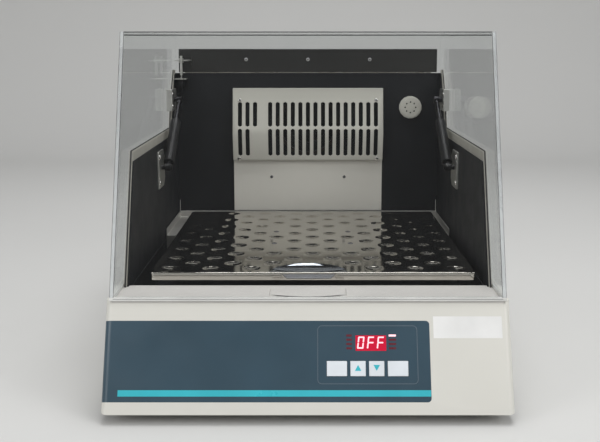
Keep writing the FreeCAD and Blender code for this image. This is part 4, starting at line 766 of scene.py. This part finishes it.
# Screws at some spots, each along the same direction.
def screws(name, spots, direction, radius, tall, body, material=finishes["bright"]):
    heads = [placed(screwHead(radius, tall), spot, direction) for spot in spots]
    marks = [placed(crossRecessShade(radius, tall), spot, direction) for spot in spots]
    newPiece(name, *gathered(heads), material, body, "bright", screwAngle)
    # the dark cross is painted shade of the recess
    newPiece(name + "Recess", *gathered(marks), finishes["black"], body, "bright", screwAngle)


spotX, spotY = platformSize["screws"]
platformSpots = [
    (platformMiddle[0] + a * spotX, platformMiddle[1] + b * spotY, platformSize["top"])
    for a in (-1, 1) for b in (-1, 1)
]
screws("platformScrews", platformSpots, (0, 0, 1), *platformSize["screwHead"], platformBody, finishes["iron"])
print("platform made")


# Closed shells of a CAD mesh, one after another: a shell ends where each of its edges has met its mate.
def shells(node):
    data = nodes[node].data
    spots = np.empty(len(data.vertices) * 3, dtype=np.float32)
    data.vertices.foreach_get("co", spots)
    spots = spots.reshape(-1, 3)
    keys = [tuple(p) for p in np.round(spots * 1e6).astype(int)]  # whole micrometres
    found, faces, waiting = [], [], set()
    for polygon in data.polygons:
        corners = list(polygon.vertices)
        faces.append(corners)
        for a, b in zip(corners, corners[1:] + corners[:1]):
            waiting ^= {frozenset((keys[a], keys[b]))}
        if not waiting:
            used = sorted({i for face in faces for i in face})
            place = {old: new for new, old in enumerate(used)}
            found.append((spots[used], [[place[i] for i in face] for face in faces]))
            faces = []
    return found


# The air deck's sheets lie against each other, so they are made into one closed piece.
airDeckEasing = 0.0003
sheets = shells("air_deck")
airDeck = newPiece("airDeckSheet", *sheets[0], satinSteel, ownerOf["air_deck"], slotOf["air_deck"])
for i, sheet in enumerate(sheets[1:]):
    combine(airDeck, loose(f"airDeckPart{i}", *sheet), "UNION")
cleaned(airDeck.data, dressedAngle, flatten=True, outward=False)
eased(airDeck, airDeckEasing)
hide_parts("air_deck")
print("air deck made from", len(sheets), "sheets")

# Prints and display: pairs of limits across and up the slope of the leaning front.
panel = {
    "lean": math.radians(22.8),
    "proud": 0.00012, "sunk": 0.0001, "keyProud": 0.0005,
    "stripe": ((-0.2448, 0.1586), (0.0232, 0.0311)),
    "frame": ((0.0125, 0.1426), (0.0389, 0.1135)), "frameLine": 0.0005, "frameRound": 0.0055, "frameSteps": 7,
    "bars": {"left": (0.0500, 0.0572), "right": (0.1054, 0.1148)},
    "barRows": (0.0994, 0.0940, 0.0885, 0.0830), "barTall": 0.0026,
    "text": "OFF", "digitStart": 0.0638, "digitFoot": 0.0838, "digitPitch": 0.0128,
    "digit": (0.0083, 0.0155), "digitStroke": 0.0018, "digitGap": 0.25, "digitSlant": 0.12,
    "label": ((0.1640, 0.2540), (0.0972, 0.1255)),
    "arrow": (0.0042, 0.0038), "arrowMiddle": 0.0593,
}
segmentsOf = {"O": "abcdef", "F": "aefg"}
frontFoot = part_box("base_shell")[0]


# Points given as across, up the slope and out of the leaning front, in their places on it.
def onFront(points):
    low = np.array([0.0, frontFoot[1], frontFoot[2]])
    up = np.array([0.0, math.sin(panel["lean"]), math.cos(panel["lean"])])
    out = np.array([0.0, -math.cos(panel["lean"]), math.sin(panel["lean"])])
    p = np.asarray(points, float)
    return low + p[:, 0:1] * [1.0, 0.0, 0.0] + p[:, 1:2] * up + p[:, 2:3] * out


# Thin printed areas on the leaning front, slanted as x + (s - foot) slant.
def flatPrint(name, rectangles, material, slot="overlay", slant=0.0, foot=0.0):
    points, faces = gathered([slab(x, s, (-panel["sunk"], panel["proud"])) for x, s in rectangles])
    points[:, 0] += (points[:, 1] - foot) * slant
    newPiece(name, onFront(points), faces, material, "base", slot)


# A thin ring between two rounded rectangles: corner centre plus radius times (cos t, sin t).
def roundedFrame(x, s, radius, line):
    corners = ((x[1], s[1], 0.0), (x[0], s[1], 90.0), (x[0], s[0], 180.0), (x[1], s[0], 270.0))
    loops = []
    for inset in (0.0, line):
        loop = []
        for cx, cs, start in corners:
            t = np.radians(start + np.linspace(0.0, 90.0, panel["frameSteps"]))
            inX = cx - radius if cx == x[1] else cx + radius
            inS = cs - radius if cs == s[1] else cs + radius
            loop.append(np.stack([inX + (radius - inset) * np.cos(t), inS + (radius - inset) * np.sin(t)], -1))
        loops.append(np.concatenate(loop))
    count = len(loops[0])
    rings = [(0, -panel["sunk"]), (0, panel["proud"]), (1, panel["proud"]), (1, -panel["sunk"])]
    points = np.concatenate([np.c_[loops[which], np.full(count, height)] for which, height in rings])
    return points, ringFaces(len(rings), count) % len(points)


# The strokes of one seven-stroke character between its left edge and its foot.
def digitRectangles(letter, x, s):
    w, h = panel["digit"]
    t = panel["digitStroke"]
    g = t * panel["digitGap"]
    half = h / 2.0
    strokes = {
        "a": ((x + g, x + w - g), (s + h - t, s + h)), "d": ((x + g, x + w - g), (s, s + t)),
        "g": ((x + g, x + w - g), (s + half - t / 2, s + half + t / 2)),
        "b": ((x + w - t, x + w), (s + half + g, s + h - g)), "c": ((x + w - t, x + w), (s + g, s + half - g)),
        "f": ((x, x + t), (s + half + g, s + h - g)), "e": ((x, x + t), (s + g, s + half - g)),
    }
    return [strokes[key] for key in segmentsOf[letter]]


# A triangle on a key's face, its tip up (1) or down (-1).
def arrowPrint(name, node, way):
    low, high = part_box(node)
    middle, s = (low[0] + high[0]) / 2.0, panel["arrowMiddle"]
    w, h = panel["arrow"]
    flat = np.array([(middle - w, s - way * h), (middle + w, s - way * h), (middle, s + way * h)])
    heights = (panel["keyProud"] - panel["sunk"], panel["keyProud"] + panel["proud"])
    points, faces = prism(*[np.c_[flat, np.full(3, height)] for height in heights])
    newPiece(name, onFront(points), faces, stripeFilm, ownerOf[node], "key_grey")


flatPrint("stripePrint", [panel["stripe"]], stripeFilm)
framePoints, frameFaces = roundedFrame(*panel["frame"], panel["frameRound"], panel["frameLine"])
newPiece("panelFrameLine", onFront(framePoints), frameFaces, lineFilm, "base", "overlay")
barRows = [(s, s + panel["barTall"]) for s in panel["barRows"]]
leftBars = [(panel["bars"]["left"], row) for row in barRows]
rightBars = [(panel["bars"]["right"], row) for row in barRows]
flatPrint("statusBarLit", rightBars[:1], digitGlow, "window")
flatPrint("statusBars", leftBars + rightBars[1:], barDark, "window")
digits = []
for index, letter in enumerate(panel["text"]):
    digits += digitRectangles(letter, panel["digitStart"] + index * panel["digitPitch"], panel["digitFoot"])
flatPrint("displayDigits", digits, digitGlow, "window", slant=panel["digitSlant"], foot=panel["digitFoot"])
arrowPrint("upArrow", "up_key", 1.0)
arrowPrint("downArrow", "down_key", -1.0)
flatPrint("blankLabel", [panel["label"]], labelFilm, "strip")
print("control panel made")

ventLow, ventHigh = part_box("vent_cover")
vent = {
    "faces": [(ventLow[2], 0.015), (0.313, 0.025), (ventHigh[2] - 0.007, 0.009), (ventHigh[2], 0.009)],
    "upper": (0.129, 0.3770), "upperTilt": (0.0, -0.0783, 0.016),
    "lower": (0.131, 0.2658), "lowerTilt": (0.0, -0.05, -0.010),
}
# Screw heads, each size a radius and a height.
fittings = {
    "ventSize": (0.0032, 0.0016),
    "baffleSize": (0.0030, 0.0014), "baffleX": (-0.070, 0.070), "baffleZ": 0.2285,
    "plateSize": (0.0034, 0.0016), "plateX": (-0.1195, 0.0, 0.1195), "plateZ": 0.4525,
    "lowerSize": (0.0034, 0.0018), "lowerX": 0.247,
    "lowerSpots": ((0.0375, 0.296), (0.0375, 0.252), (0.078, 0.274)),
    "upperSize": (0.0030, 0.0016), "upperX": 0.246,
    "upperSpots": ((0.1885, 0.392), (0.1885, 0.370), (0.2250, 0.381)),
}


# A pair of screws on the bent cover, whose face stands off the wall by straight steps between heights.
def ventScrews(name, spot, tilt):
    x, z = spot
    heights, depths = zip(*vent["faces"])
    face = ventHigh[1] - float(np.interp(z, heights, depths))
    screws(name, [(side * x, face, z) for side in (-1, 1)], tilt, *fittings["ventSize"], "base")


ventScrews("ventScrewsUpper", vent["upper"], vent["upperTilt"])
ventScrews("ventScrewsLower", vent["lower"], vent["lowerTilt"])
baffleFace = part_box("baffle_panel")[0][1]
baffleSpots = [(x, baffleFace, fittings["baffleZ"]) for x in fittings["baffleX"]]
screws("baffleScrews", baffleSpots, (0, -1, 0), *fittings["baffleSize"], "base", finishes["iron"])
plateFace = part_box("hinge_plate")[0][1]
plateSpots = [(x, plateFace, fittings["plateZ"]) for x in fittings["plateX"]]
screws("hingePlateScrews", plateSpots, (0, -1, 0), *fittings["plateSize"], "lid", finishes["cast"])
for label, side in (("Left", -1), ("Right", 1)):
    for where, body in (("lower", "base"), ("upper", "lid")):
        bracketSpots = [(side * fittings[where + "X"], y, z) for y, z in fittings[where + "Spots"]]
        screws(f"{where}BracketScrews{label}", bracketSpots, (-side, 0, 0), *fittings[where + "Size"], body)
print("chamber fittings made")

lidLow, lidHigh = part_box("lid_left_panel")
lid = {
    "out": -lidLow[0], "wall": 0.005, "foot": (lidLow[1], lidLow[2]), "top": lidHigh[2] - 0.0002,
    "lean": math.radians(19.52), "film": 0.00012, "outerShare": 1.5, "innerLine": 0.0006, "outerLine": 0.0005,
    "topLines": ((0.4984, 0.4997), (0.4940, 0.4956)), "topProud": 0.00014,
    "footLine": (0.15105, 0.15150), "footProud": 0.00012, "seated": 0.00006,
}


# A strip up the leaning front between two X values, out of the sheet along its normal (0, -cos lean, sin lean).
def leaningStrip(x0, x1, out):
    left, right = sorted((x0, x1))
    y0, z0 = lid["foot"]
    z1 = lid["top"]
    y1 = y0 + (z1 - z0) * math.tan(lid["lean"])
    step = np.array([0.0, -math.cos(lid["lean"]), math.sin(lid["lean"])]) * out
    quad = np.array([(left, y0, z0), (right, y0, z0), (right, y1, z1), (left, y1, z1)])
    return prism(quad, quad + step)


# Films on the sawn edges of the side sheets, whose ends look whiter than their faces: painted highlight. Dark
# lines at the glued joints and along the outer edges: painted shade.
edges, shadeLines = [], []
for side in (-1, 1):
    outer, inner = side * lid["out"], side * (lid["out"] - lid["wall"])
    edges.append(leaningStrip(outer, inner, lid["film"]))
    # inner line: glue joint and painted shade; outer line: painted shade along the sheet's edge
    shadeLines.append(leaningStrip(inner, inner - side * lid["innerLine"], lid["film"]))
    shadeLines.append(leaningStrip(outer, outer - side * lid["outerLine"], lid["film"] * lid["outerShare"]))
newPiece("lidEdgeHighlights", *gathered(edges), edgeHighlight, "lid", "clear")
newPiece("lidJointAndEdgeShade", *gathered(shadeLines), jointAndEdgeShade, "lid", "clear")

# Painted shade: the top sheet's front edge shows as two dark lines, the foot strip's upper edge as a thin grey
# one.
topY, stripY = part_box("lid_top_panel")[0][1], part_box("lid_foot_strip")[0][1]
span = (lid["wall"] - lid["out"], lid["out"] - lid["wall"])
lines = [slab(span, (topY - lid["topProud"], topY + lid["seated"]), z) for z in lid["topLines"]]
lines.append(slab(span, (stripY - lid["footProud"], stripY + lid["seated"]), lid["footLine"]))
newPiece("lidTopShadeLines", *gathered(lines), jointAndEdgeShade, "lid", "clear")
print("lid edges made")
